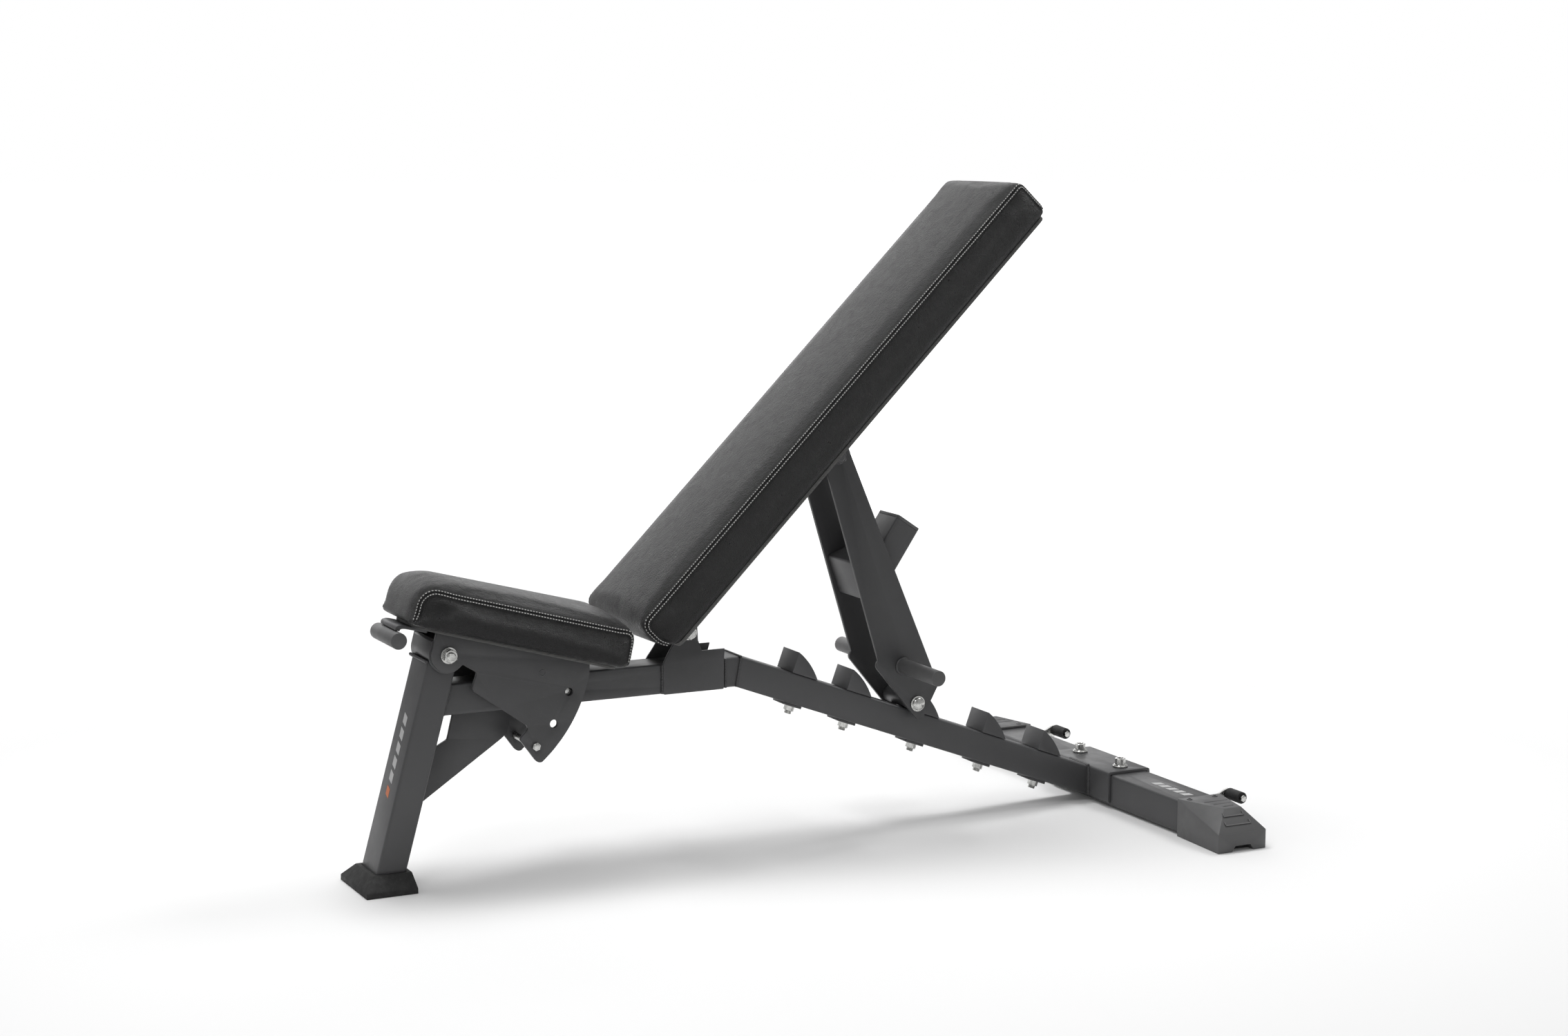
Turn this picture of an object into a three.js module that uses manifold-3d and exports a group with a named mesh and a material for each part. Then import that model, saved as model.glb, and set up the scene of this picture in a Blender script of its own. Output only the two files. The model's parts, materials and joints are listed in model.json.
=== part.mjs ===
// Adjustable weight bench: a tapered seat and a long backrest on a steel frame.
// Millimetres. +X runs from the front leg to the rear cross tube, +Y is one side, +Z is up, floor at z = 0.
import * as THREE from 'three';
import { mergeVertices } from 'three/addons/utils/BufferGeometryUtils.js';
import { ConvexGeometry } from 'three/addons/geometries/ConvexGeometry.js';
import Module from 'manifold-3d';

const wasm = await Module();
wasm.setup();

// ---------- driving dimensions ----------
const GAP = 0.3;                      // clearance kept between separate pieces
const WALL = 3;                       // tube wall
const PLATE = 6;                      // laser-cut side plates
const CORNER = 5;                     // outer corner radius of the tubes
const STOCK = { wide: 71, deep: 45 }; // heavy rectangular stock: leg, strut cross tube, strut post

const LEG = { foot: 37.75, tilt: 15.4, bottom: 9, top: 345 };
const SPINE = { wide: 56, tall: 47, under: 252.5, bendX: 617, slope: 20.57, endX: 1256 };
const SPINE_TOP = SPINE.under + SPINE.tall;

const SEAT = { pivotX: 135.3, pivotZ: 346.7, tilt: 15, boardLow: 30, boardHigh: 35 };
const SEAT_PLATE = { inner: 40.3, radius: 226, lockRadius: 201.4, firstHole: -5.9, stopBolt: -33.1 };
const SEAT_PAD = { front: -81, rear: 262, frontHalf: 76, rearHalf: 117, low: 35.4, high: 109, edge: 24 };

const BACK = { pivotX: 527, pivotZ: 346, angle: 45, boardLow: 31, boardHigh: 37 };
const BACK_PAD = { low: 37.3, high: 113, start: -61, end: 858, half: 118, edge: 14, round: 22 };
const BACK_TUBE = { wide: 46, low: -7.5, high: 26.2, start: 20, end: 430 };
const EAR = { inner: 25.5, outer: 29.5 };

const STRUT = { pivotAlong: 357.4, pivotAcross: 8, angle: 70.36, inner: 43, bar: 428.3 };
const TOOTH = { front: [95.5, 198.3, 330.6, 464, 577.5], tall: 33.5, foot: 47.5, bolt: 28.6 };
const POST = { lean: 126.2, deep: 45, wide: 66, length: 102, start: 212.7, rise: 8.2, cap: 5 };
const CROSS = { front: 1261, deep: 71, low: 4, tall: 52, half: 310 };
const COVER = { half: 88, thick: 4.5, boltSide: 61, flangeLow: 9 };
const CAP = { inner: 285, ridge: 370, outer: 405, top: 60.5, shoulder: 30 };
const ROLLER = { x: 1385, z: 46, radius: 9.5, near: 245, far: 279 };
const LOCK = { radius: 5, hole: 6.3, tip: 39.9, tail: 11, collar: 3 };
const M12 = { shaft: 6, bore: 6.5, washer: 12.5, washerThick: 2.2, hex: 10.4, nutThick: 9 };

// ---------- finishes ----------
const finish = (color, roughness, metalness) => (
  new THREE.MeshStandardMaterial({ color, roughness, metalness })
);
const POWDER_COAT = finish(0x2d2d2f, 0.5, 0.3);
const VINYL = finish(0x1d1d1e, 0.45, 0.0);
const PLASTIC = finish(0x39393b, 0.55, 0.0);
const RUBBER = finish(0x1a1a1a, 0.8, 0.0);
const ZINC = finish(0xc8c8c4, 0.3, 0.9);
const PLYWOOD = finish(0x2a2623, 0.8, 0.0);

const bench = new THREE.Group();
const rad = THREE.MathUtils.degToRad;

// A group turned about +Y; a positive angle tips its local x axis downwards.
function frameAt(x, z, degrees) {
  const group = new THREE.Group();
  group.position.set(x, 0, z);
  group.rotation.y = rad(degrees);
  bench.add(group);
  return group;
}

function add(parent, name, geometry, material) {
  const mesh = new THREE.Mesh(geometry, material);
  mesh.name = name;
  parent.add(mesh);
  return mesh;
}

// ---------- solids ----------
function toManifold(geometry) {
  const bare = geometry.clone();
  bare.deleteAttribute('normal');
  bare.deleteAttribute('uv');
  const merged = mergeVertices(bare);
  const vertProperties = new Float32Array(merged.attributes.position.array);
  const triVerts = new Uint32Array(merged.index.array);
  return new wasm.Manifold(new wasm.Mesh({ numProp: 3, vertProperties, triVerts }));
}

function toGeometry(manifold) {
  const mesh = manifold.getMesh();
  const geometry = new THREE.BufferGeometry();
  geometry.setAttribute('position', new THREE.BufferAttribute(new Float32Array(mesh.vertProperties), 3));
  geometry.setIndex(new THREE.BufferAttribute(new Uint32Array(mesh.triVerts), 1));
  return geometry;
}

function cut(geometry, ...tools) {
  let solid = toManifold(geometry);
  for (const tool of tools) solid = solid.subtract(toManifold(tool));
  return toGeometry(solid);
}

function join(geometry, ...others) {
  let solid = toManifold(geometry);
  for (const other of others) solid = solid.add(toManifold(other));
  return toGeometry(solid);
}

function meet(geometry, other) {
  return toGeometry(toManifold(geometry).intersect(toManifold(other)));
}

// Outline through corners [x, z, radius]; a corner with a radius is rounded.
function outline(corners) {
  const shape = new THREE.Shape();
  corners.forEach(([x, z, radius = 0], i) => {
    const here = new THREE.Vector2(x, z);
    const before = new THREE.Vector2(...corners.at(i - 1));
    const after = new THREE.Vector2(...corners[(i + 1) % corners.length]);
    const enter = here.clone().add(before.sub(here).setLength(radius));
    const leave = here.clone().add(after.sub(here).setLength(radius));
    if (i === 0) shape.moveTo(enter.x, enter.y);
    else shape.lineTo(enter.x, enter.y);
    if (radius > 0) shape.quadraticCurveTo(x, z, leave.x, leave.y);
  });
  shape.closePath();
  return shape;
}

function rectangle(x0, x1, z0, z1, radius = 0) {
  return outline([[x0, z0, radius], [x1, z0, radius], [x1, z1, radius], [x0, z1, radius]]);
}

function hole(x, z, radius) {
  const path = new THREE.Path();
  path.absarc(x, z, radius, 0, 2 * Math.PI, true);
  return path;
}

// An (x, z) outline given thickness along y, from y0 to y1.
function slab(shape, y0, y1, curveSegments = 4) {
  const geometry = new THREE.ExtrudeGeometry(shape, { depth: y1 - y0, bevelEnabled: false, curveSegments });
  return geometry.rotateX(Math.PI / 2).translate(0, y1, 0);
}

// A (y, z) section carried along x.
function bar(section, x0, x1, curveSegments = 3) {
  const depth = x1 - x0;
  const geometry = new THREE.ExtrudeGeometry(section, { depth, bevelEnabled: false, curveSegments });
  const turn = new THREE.Matrix4().makeBasis(
    new THREE.Vector3(0, 1, 0),
    new THREE.Vector3(0, 0, 1),
    new THREE.Vector3(1, 0, 0),
  );
  return geometry.applyMatrix4(turn).translate(x0, 0, 0);
}

// Hollow rectangular tube along x, open at both ends.
function tubeX(x0, x1, wide, z0, z1) {
  const section = rectangle(-wide / 2, wide / 2, z0, z1, CORNER);
  section.holes.push(rectangle(-wide / 2 + WALL, wide / 2 - WALL, z0 + WALL, z1 - WALL, CORNER - WALL));
  return bar(section, x0, x1);
}

// Hollow rectangular tube along y, open at both ends.
function tubeY(y0, y1, x0, x1, z0, z1) {
  const section = rectangle(x0, x1, z0, z1, CORNER);
  section.holes.push(rectangle(x0 + WALL, x1 - WALL, z0 + WALL, z1 - WALL, CORNER - WALL));
  return slab(section, y0, y1, 3);
}

function box(x0, x1, y0, y1, z0, z1) {
  const geometry = new THREE.BoxGeometry(x1 - x0, y1 - y0, z1 - z0);
  return geometry.translate((x0 + x1) / 2, (y0 + y1) / 2, (z0 + z1) / 2);
}

// Round bar along y.
function rod(x, z, radius, y0, y1, sides = 24) {
  return new THREE.CylinderGeometry(radius, radius, y1 - y0, sides).translate(x, (y0 + y1) / 2, z);
}

// Round post along z.
function post(x, y, radius, z0, z1, sides = 24) {
  const geometry = new THREE.CylinderGeometry(radius, radius, z1 - z0, sides).rotateX(Math.PI / 2);
  return geometry.translate(x, y, (z0 + z1) / 2);
}

// Sleeve along y with a bore for an M12 bolt.
function sleeve(x, z, radius, y0, y1) {
  const ring = new THREE.Shape();
  ring.absarc(x, z, radius, 0, 2 * Math.PI, false);
  ring.holes.push(hole(x, z, M12.bore));
  return slab(ring, y0, y1, 14);
}

// Through bolt along y: washers on both faces, a nut with the bolt's tip on the near side and a hex head
// on the far side.
function throughBolt(x, z, face, nutThick = M12.nutThick, tip = 4, washer = M12.washer) {
  const seat = face + GAP;
  const washerOut = seat + M12.washerThick;
  return join(
    rod(x, z, M12.shaft, -washerOut - nutThick - tip, washerOut + 1, 16),
    rod(x, z, washer, -washerOut, -seat, 24),
    rod(x, z, washer, seat, washerOut, 24),
    rod(x, z, M12.hex, -washerOut - nutThick, -washerOut + 0.5, 6),
    rod(x, z, M12.hex, washerOut - 0.5, washerOut + 7.5, 6),
  );
}

const sides = [['near', -1], ['far', 1]];

// Span between two distances from the middle plane, on the side given by sign.
const span = (sign, a, b) => (sign < 0 ? [-b, -a] : [a, b]);

// ---------- front leg ----------
const leg = frameAt(LEG.foot, 0, LEG.tilt);
const legBack = STOCK.deep / 2;
const legSection = rectangle(-STOCK.deep / 2, legBack, -STOCK.wide / 2, STOCK.wide / 2, CORNER);
const legBore = { deep: legBack - WALL, wide: STOCK.wide / 2 - WALL };
legSection.holes.push(rectangle(-legBore.deep, legBore.deep, -legBore.wide, legBore.wide, 2));
const legTube = new THREE.ExtrudeGeometry(legSection, {
  depth: LEG.top - LEG.bottom,
  bevelEnabled: false,
  curveSegments: 3,
});
add(leg, 'leg_tube', legTube.translate(0, 0, LEG.bottom), POWDER_COAT);

const BOOT = {
  front: -2, rear: 76.5, half: 62.5, lip: 8.5, rimFront: 15, rimRear: 74.5, rimHalf: 41, top: 28,
};
function footBoot() {
  const corners = [];
  for (const y of [-1, 1]) {
    for (const z of [0, BOOT.lip]) {
      corners.push(new THREE.Vector3(BOOT.front, y * BOOT.half, z));
      corners.push(new THREE.Vector3(BOOT.rear, y * BOOT.half, z));
    }
    corners.push(new THREE.Vector3(BOOT.rimFront, y * BOOT.rimHalf, BOOT.top));
    corners.push(new THREE.Vector3(BOOT.rimRear, y * BOOT.rimHalf, BOOT.top));
  }
  const deep = legBack + GAP;
  const wide = STOCK.wide / 2 + GAP;
  const pocket = box(-deep, deep, -wide, wide, LEG.bottom - 1, 60);
  pocket.rotateY(rad(LEG.tilt)).translate(LEG.foot, 0, 0);
  return cut(new ConvexGeometry(corners), pocket);
}
add(bench, 'foot_boot', footBoot(), RUBBER);

// The seat pivot in the leg's own axes.
const pivotInLeg = new THREE.Vector3(SEAT.pivotX - LEG.foot, 0, SEAT.pivotZ);
pivotInLeg.applyAxisAngle(new THREE.Vector3(0, 1, 0), -rad(LEG.tilt));

// U-shaped bracket on the leg's top: a web in front and a round-bottomed cheek on each side.
const CHEEK = { radius: 28.5, thick: 4, above: 19, outer: 39.8 };
function legTopBracket() {
  const front = pivotInLeg.x - CHEEK.radius;
  const top = pivotInLeg.z + CHEEK.above;
  const cheek = new THREE.Shape();
  cheek.moveTo(front, top - 5);
  cheek.lineTo(front, pivotInLeg.z);
  cheek.absarc(pivotInLeg.x, pivotInLeg.z, CHEEK.radius, Math.PI, 2 * Math.PI, false);
  cheek.lineTo(pivotInLeg.x + CHEEK.radius, top);
  cheek.lineTo(front + 5, top);
  cheek.closePath();
  const block = slab(cheek, -CHEEK.outer, CHEEK.outer, 16);
  const room = box(front + CHEEK.thick, 100, -CHEEK.outer + CHEEK.thick, CHEEK.outer - CHEEK.thick, 0, 500);
  const inside = CHEEK.outer - CHEEK.thick;
  const legRoom = box(-legBack - GAP, 100, -inside, inside, 0, LEG.top + GAP);
  const bore = rod(pivotInLeg.x, pivotInLeg.z, M12.bore, -60, 60);
  return cut(block, room, legRoom, bore);
}
add(leg, 'leg_top_bracket', legTopBracket(), POWDER_COAT);

// ---------- spine ----------
// The leg's back face is the line x = legFace(z).
const legFace = (z) => LEG.foot + legBack / Math.cos(rad(LEG.tilt)) + z * Math.tan(rad(LEG.tilt));
const bendUnder = SPINE.bendX - SPINE.tall * Math.tan(rad(SPINE.slope / 2));

function spineFront() {
  const tube = tubeX(legFace(SPINE.under) - 20, SPINE.bendX + 20, SPINE.wide, SPINE.under, SPINE_TOP);
  const side = outline([
    [legFace(SPINE.under - 1) + GAP, SPINE.under - 1],
    [bendUnder, SPINE.under - 1],
    [bendUnder, SPINE.under],
    [SPINE.bendX, SPINE_TOP],
    [SPINE.bendX, SPINE_TOP + 1],
    [legFace(SPINE_TOP + 1) + GAP, SPINE_TOP + 1],
  ]);
  const lock = lockPoint();
  const lockHole = rod(lock.x, lock.z, LOCK.radius + 0.4, -SPINE.wide, SPINE.wide, 20);
  return cut(meet(tube, slab(side, -40, 40)), lockHole);
}

// Where the seat locks to the spine, in bench axes.
function lockPoint() {
  const angle = rad(SEAT_PLATE.firstHole - SEAT.tilt);
  return {
    x: SEAT.pivotX + SEAT_PLATE.lockRadius * Math.cos(angle),
    z: SEAT.pivotZ + SEAT_PLATE.lockRadius * Math.sin(angle),
  };
}
add(bench, 'spine_front_tube', spineFront(), POWDER_COAT);

// The rear tube runs down from the bend; its local x follows the tube and z = 0 is its top face.
const rearSpine = frameAt(SPINE.bendX, SPINE_TOP, SPINE.slope);
const rearLength = (SPINE.endX - SPINE.bendX) / Math.cos(rad(SPINE.slope));
const mitre = SPINE.tall * Math.tan(rad(SPINE.slope / 2));
const STUD = 5;

function spineRear() {
  const tube = tubeX(-30, rearLength + 40, SPINE.wide, -SPINE.tall, 0);
  const run = SPINE.tall * Math.tan(rad(SPINE.slope));
  const side = outline([
    [GAP, 0.5],
    [rearLength, 0.5],
    [rearLength, 0],
    [rearLength + run, -SPINE.tall],
    [rearLength + run, -SPINE.tall - 0.5],
    [GAP + mitre, -SPINE.tall - 0.5],
    [GAP + mitre, -SPINE.tall],
    [GAP, 0],
  ]);
  const studs = TOOTH.front.map((front) => post(front + TOOTH.bolt, 0, STUD + 0.4, -SPINE.tall - 5, 5, 16));
  return cut(meet(tube, slab(side, -40, 40)), ...studs);
}
add(rearSpine, 'spine_rear_tube', spineRear(), POWDER_COAT);

// Ladder teeth: a square front face that stops the strut's bar, and a round back that it slides over.
const TOOTH_WIDE = SPINE.wide - 1;
const NUT = { hex: 8.5, thick: 8, plate: 4, plateFront: 6, plateRear: 40, plateHalf: 18 };
TOOTH.front.forEach((front, i) => {
  const fin = new THREE.Shape();
  fin.moveTo(front, GAP);
  fin.lineTo(front + TOOTH.foot, GAP);
  fin.quadraticCurveTo(front + 0.61 * TOOTH.foot, 0.69 * TOOTH.tall, front + 1, TOOTH.tall);
  fin.lineTo(front, TOOTH.tall);
  fin.closePath();
  const stud = post(front + TOOTH.bolt, 0, STUD, -SPINE.tall - NUT.plate - NUT.thick - 4, 5, 12);
  add(rearSpine, `tooth_${i + 1}`, join(slab(fin, -TOOTH_WIDE / 2, TOOTH_WIDE / 2, 7), stud), POWDER_COAT);

  const under = -SPINE.tall - GAP;
  const plate = box(
    front + NUT.plateFront, front + NUT.plateRear, -NUT.plateHalf, NUT.plateHalf, under - NUT.plate, under);
  const plateUnder = under - NUT.plate;
  const nut = post(front + TOOTH.bolt, 0, NUT.hex, plateUnder - NUT.thick, plateUnder + 0.5, 6);
  const thread = post(front + TOOTH.bolt, 0, STUD + GAP, -90, 0, 12);
  add(rearSpine, `tooth_nut_${i + 1}`, cut(join(plate, nut), thread), ZINC);
});

// Gusset between the leg and the spine, with a weld window by the leg.
const gussetEdge = outline([
  [legFace(112) + GAP, 112],
  [233, 205.2, 5],
  [241, 213, 5],
  [251, SPINE.under - GAP],
  [156, SPINE.under - GAP],
  [146, 211, 2],
  [legFace(194.5) + GAP, 194.5],
]);
add(bench, 'leg_gusset', slab(gussetEdge, -PLATE / 2, PLATE / 2), POWDER_COAT);

// Saddle plates: folded sheets welded to the spine's sides, each ending in an ear for the back hinge.
const SADDLE = { x0: 484, x1: 586, outer: 32.6, inner: 28.4, fold: SPINE_TOP + 1, shelf: 315, ear: 20.5 };
function saddle(sign) {
  const section = new THREE.Shape([
    [SADDLE.inner, SPINE.under],
    [SADDLE.outer, SPINE.under],
    [SADDLE.outer, SADDLE.fold],
    [EAR.outer, SADDLE.shelf],
    [EAR.outer, 400],
    [EAR.inner, 400],
    [EAR.inner, SADDLE.shelf],
    [SADDLE.inner, SADDLE.fold],
  ].map(([y, z]) => new THREE.Vector2(sign * y, z)));
  const edge = outline([
    [SADDLE.x0, SPINE.under - 1, 5],
    [SADDLE.x1, SPINE.under - 1, 5],
    [SADDLE.x1, SADDLE.fold],
    [SADDLE.x1 + 3, SADDLE.shelf],
    [BACK.pivotX + 23, SADDLE.shelf],
    [BACK.pivotX + 16.5, BACK.pivotZ - 14],
    [BACK.pivotX + 15, BACK.pivotZ + 17, 8],
    [BACK.pivotX, BACK.pivotZ + SADDLE.ear + 1, 6],
    [BACK.pivotX - 15, BACK.pivotZ + 17, 8],
    [BACK.pivotX - 21, BACK.pivotZ - 12],
    [BACK.pivotX - 30, SADDLE.shelf + 6],
    [SADDLE.x0, SADDLE.fold],
  ]);
  const bore = rod(BACK.pivotX, BACK.pivotZ, M12.bore, -60, 60);
  return cut(meet(bar(section, SADDLE.x0 - 10, SADDLE.x1 + 10), slab(edge, -60, 60)), bore);
}
for (const [side, sign] of sides) add(bench, `saddle_${side}`, saddle(sign), POWDER_COAT);

add(bench, 'back_hinge_bolt', throughBolt(BACK.pivotX, BACK.pivotZ, EAR.outer), ZINC);

// ---------- rear cross tube ----------
const crossBack = CROSS.front + CROSS.deep;
const crossTop = CROSS.low + CROSS.tall;
const crossMiddle = CROSS.front + CROSS.deep / 2;
const coverTop = crossTop + GAP + COVER.thick;

function crossTube() {
  const tube = tubeY(-CROSS.half, CROSS.half, CROSS.front, crossBack, CROSS.low, crossTop);
  const bores = sides.map(([, sign]) => post(crossMiddle, sign * COVER.boltSide, M12.bore, 30, 80));
  return cut(tube, ...bores);
}
add(bench, 'cross_tube', crossTube(), POWDER_COAT);

function coverBracket() {
  const reach = GAP + COVER.thick;
  const shell = rectangle(CROSS.front - reach, crossBack + reach, COVER.flangeLow, coverTop, 5);
  const room = box(CROSS.front - GAP, crossBack + GAP, -200, 200, -10, crossTop + GAP);
  const bores = sides.map(([, sign]) => post(crossMiddle, sign * COVER.boltSide, M12.bore, 30, 80));
  return cut(slab(shell, -COVER.half, COVER.half), room, ...bores);
}
add(bench, 'cover_bracket', coverBracket(), POWDER_COAT);

const SOCKET = { head: 8.8, tall: 12, key: 5, keyDeep: 6, shaft: 40 };
for (const [side, sign] of sides) {
  const y = sign * COVER.boltSide;
  const washerTop = coverTop + GAP + 2.5;
  const ring = cut(
    post(crossMiddle, y, M12.washer, coverTop + GAP, washerTop),
    post(crossMiddle, y, M12.bore, 0, 100));
  add(bench, `cover_washer_${side}`, ring, ZINC);
  const head = post(crossMiddle, y, SOCKET.head, washerTop + GAP, washerTop + SOCKET.tall);
  const shaft = post(crossMiddle, y, M12.shaft, washerTop - SOCKET.shaft, washerTop + 1, 16);
  const key = post(crossMiddle, y, SOCKET.key, washerTop + SOCKET.tall - SOCKET.keyDeep, 120, 6);
  add(bench, `cover_bolt_${side}`, cut(join(head, shaft), key), ZINC);
}

// Moulded end caps: a flat top that narrows outwards, a sloping end and a creased front and back.
const GROOVE = { count: 3, first: 36, pitch: 17, wide: 5, deep: 1.2, half: 22, taper: 6, offset: 6 };
function rearCap(sign) {
  const at = (x, y, z) => new THREE.Vector3(x, sign * y, z);
  const front = CROSS.front - 4.5;
  const back = crossBack + 4.5;
  const corners = [];
  for (const z of [0, CAP.top]) corners.push(at(front, CAP.inner, z), at(back, CAP.inner, z));
  for (const z of [0, CAP.shoulder]) corners.push(at(front - 6, CAP.outer, z), at(back + 3, CAP.outer, z));
  corners.push(at(crossMiddle - 12, CAP.ridge, CAP.top), at(crossMiddle + 20, CAP.ridge, CAP.top));
  const wide = (y0, y1) => span(sign, y0, y1);
  const inward = wide(0, CROSS.half + 1);
  const room = box(CROSS.front - GAP, crossBack + GAP, ...inward, CROSS.low - GAP, crossTop + GAP);
  const notch = outline([[1276, -1], [1318, -1], [1311, 9], [1283, 9]]);
  const tools = [room, slab(notch, ...wide(CAP.outer - 16, CAP.outer + 5))];
  for (let k = 0; k < GROOVE.count; k += 1) {
    const y = CAP.inner + GROOVE.first + k * GROOVE.pitch;
    const half = GROOVE.half - k * GROOVE.taper;
    const x = crossMiddle + GROOVE.offset;
    tools.push(box(x - half, x + half, ...wide(y, y + GROOVE.wide), CAP.top - GROOVE.deep, CAP.top + 5));
  }
  return cut(new ConvexGeometry(corners), ...tools);
}
for (const [side, sign] of sides) add(bench, `rear_cap_${side}`, rearCap(sign), PLASTIC);

// Small transport rollers behind the cross tube, each on a pin held by a bent arm.
const ARM = { thick: 5, pin: 4.5, head: 7.5 };
for (const [side, sign] of sides) {
  const [y0, y1] = span(sign, ROLLER.near, ROLLER.far);
  const arm = outline([
    [crossBack + GAP, 20],
    [crossBack + 22, 22, 8],
    [ROLLER.x + 2, ROLLER.z - 10.5, 5],
    [ROLLER.x + 9, ROLLER.z, 6],
    [ROLLER.x, ROLLER.z + 10.5, 7],
    [crossBack + 26, 44, 8],
    [crossBack + GAP, 50],
  ]);
  const pin = rod(ROLLER.x, ROLLER.z, ARM.pin, y0 - 2, y1 + 3, 16);
  const head = rod(ROLLER.x, ROLLER.z, 5.5, y0 - 5, y0 - 0.8, 6);
  add(bench, `roller_arm_${side}`, join(slab(arm, y1 + 1, y1 + 1 + ARM.thick), pin, head), ZINC);
  const ring = new THREE.Shape();
  ring.absarc(ROLLER.x, ROLLER.z, ROLLER.radius, 0, 2 * Math.PI, false);
  ring.holes.push(hole(ROLLER.x, ROLLER.z, ARM.pin + 0.5));
  add(bench, `roller_${side}`, slab(ring, y0, y1, 14), RUBBER);
}

// ---------- seat ----------
// Seat axes: origin at the seat pivot, x towards the rear, z square to the cushion.
const seat = frameAt(SEAT.pivotX, SEAT.pivotZ, SEAT.tilt);
const onArc = (degrees, radius = SEAT_PLATE.lockRadius) => [
  radius * Math.cos(rad(degrees)),
  radius * Math.sin(rad(degrees)),
];

function seatPlate(sign) {
  const R = SEAT_PLATE.radius;
  const top = SEAT.boardLow - GAP;
  const nose = 26;
  const shape = new THREE.Shape();
  shape.moveTo(-nose, top);
  shape.lineTo(-nose, 0);
  shape.absarc(0, 0, nose, Math.PI, rad(305), false);
  shape.lineTo(25, -10);
  shape.lineTo(47, -17);
  shape.quadraticCurveTo(50, -19, 49.5, -24);
  shape.lineTo(48, -38);
  shape.quadraticCurveTo(47, -44, 54, -47);
  shape.lineTo(100, -64.5);
  shape.lineTo(145, -81);
  shape.quadraticCurveTo(151, -84, 148, -91);
  shape.lineTo(142, -101);
  shape.lineTo(142, -105.5);
  shape.lineTo(173, -130.5);
  shape.quadraticCurveTo(179, -134.5, R * Math.cos(rad(-35.4)), R * Math.sin(rad(-35.4)));
  shape.absarc(0, 0, R, rad(-35.4), rad(3), false);
  shape.lineTo(R - 4, top);
  shape.closePath();
  shape.holes.push(hole(0, 0, M12.bore));
  for (const step of [0, -SEAT.tilt]) {
    shape.holes.push(hole(...onArc(SEAT_PLATE.firstHole + step), LOCK.hole));
  }
  shape.holes.push(hole(...onArc(SEAT_PLATE.stopBolt), STUD + GAP));
  return slab(shape, ...span(sign, SEAT_PLATE.inner, SEAT_PLATE.inner + PLATE), 10);
}
for (const [side, sign] of sides) add(seat, `seat_plate_${side}`, seatPlate(sign), POWDER_COAT);

// Plan outline of the tapered cushion, inset all round.
function seatPlan(inset) {
  const { front, rear, frontHalf, rearHalf } = SEAT_PAD;
  const x0 = front + inset;
  const x1 = rear - inset;
  return outline([
    [x0, -frontHalf + inset, 46],
    [x1, -rearHalf + inset, 20],
    [x1, rearHalf - inset, 20],
    [x0, frontHalf - inset, 46],
  ]);
}

function upright(shape, z0, z1, bevel) {
  return new THREE.ExtrudeGeometry(shape, {
    depth: z1 - z0 - 2 * bevel,
    bevelEnabled: bevel > 0,
    bevelThickness: bevel,
    bevelSize: bevel,
    bevelSegments: 3,
    curveSegments: 6,
  }).translate(0, 0, z0 + bevel);
}

// Cushions have rounded edges above and a flat, square-edged underside.
function seatPad() {
  const { low, high, edge } = SEAT_PAD;
  const rounded = upright(seatPlan(edge), low - edge, high, edge);
  return meet(rounded, box(-200, 400, -200, 200, low, high + 1));
}
add(seat, 'seat_pad', seatPad(), VINYL);
add(seat, 'seat_board', upright(seatPlan(16), SEAT.boardLow, SEAT.boardHigh, 0), PLYWOOD);

const HANDLE = { x: -80.4, z: 6.7, radius: 12.3, half: 48, strapHalf: 34, strap: 5 };
function handleStrap() {
  const lift = SEAT.boardLow - GAP;
  const shape = new THREE.Shape();
  shape.moveTo(-36, lift);
  shape.lineTo(-74, lift);
  shape.quadraticCurveTo(-88, lift - 1, HANDLE.x - 4, HANDLE.z + HANDLE.radius + 1);
  shape.lineTo(HANDLE.x + 3, HANDLE.z + HANDLE.radius + 0.6);
  shape.quadraticCurveTo(-80, lift - HANDLE.strap, -66, lift - HANDLE.strap);
  shape.lineTo(-36, lift - HANDLE.strap);
  shape.closePath();
  return slab(shape, -HANDLE.strapHalf, HANDLE.strapHalf, 8);
}
add(seat, 'seat_handle_strap', handleStrap(), POWDER_COAT);
const grip = rod(HANDLE.x, HANDLE.z, HANDLE.radius, -HANDLE.half, HANDLE.half, 32);
add(seat, 'seat_handle_grip', grip, PLASTIC);

function stopBolt() {
  const [x, z] = onArc(SEAT_PLATE.stopBolt);
  const face = SEAT_PLATE.inner + PLATE + GAP;
  return join(
    rod(x, z, STUD, -face - 4, face + 1, 16),
    rod(x, z, 6.6, -face - 2.5, -face, 6),
    rod(x, z, 7.5, face, face + 5, 6),
  );
}
add(seat, 'seat_stop_bolt', stopBolt(), ZINC);
add(bench, 'seat_pivot_bolt', throughBolt(SEAT.pivotX, SEAT.pivotZ, SEAT_PLATE.inner + PLATE), ZINC);

// Snap buttons inside the spine; each slides out through the seat plate's hole.
for (const [side, sign] of sides) {
  const { x, z } = lockPoint();
  const pin = rod(x, z, LOCK.radius, ...span(sign, LOCK.tail, LOCK.tip), 20);
  const collar = rod(x, z, LOCK.radius + 3, ...span(sign, LOCK.tail, LOCK.tail + LOCK.collar), 20);
  add(bench, `seat_lock_${side}`, join(pin, collar), ZINC);
}

// ---------- backrest ----------
// Back axes: origin at the back hinge, x along the cushion towards the head end, z square to the cushion.
const back = frameAt(BACK.pivotX, BACK.pivotZ, -BACK.angle);
add(back, 'back_hinge_sleeve', sleeve(0, 0, 13.5, -EAR.inner + GAP, EAR.inner - GAP), POWDER_COAT);

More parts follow.
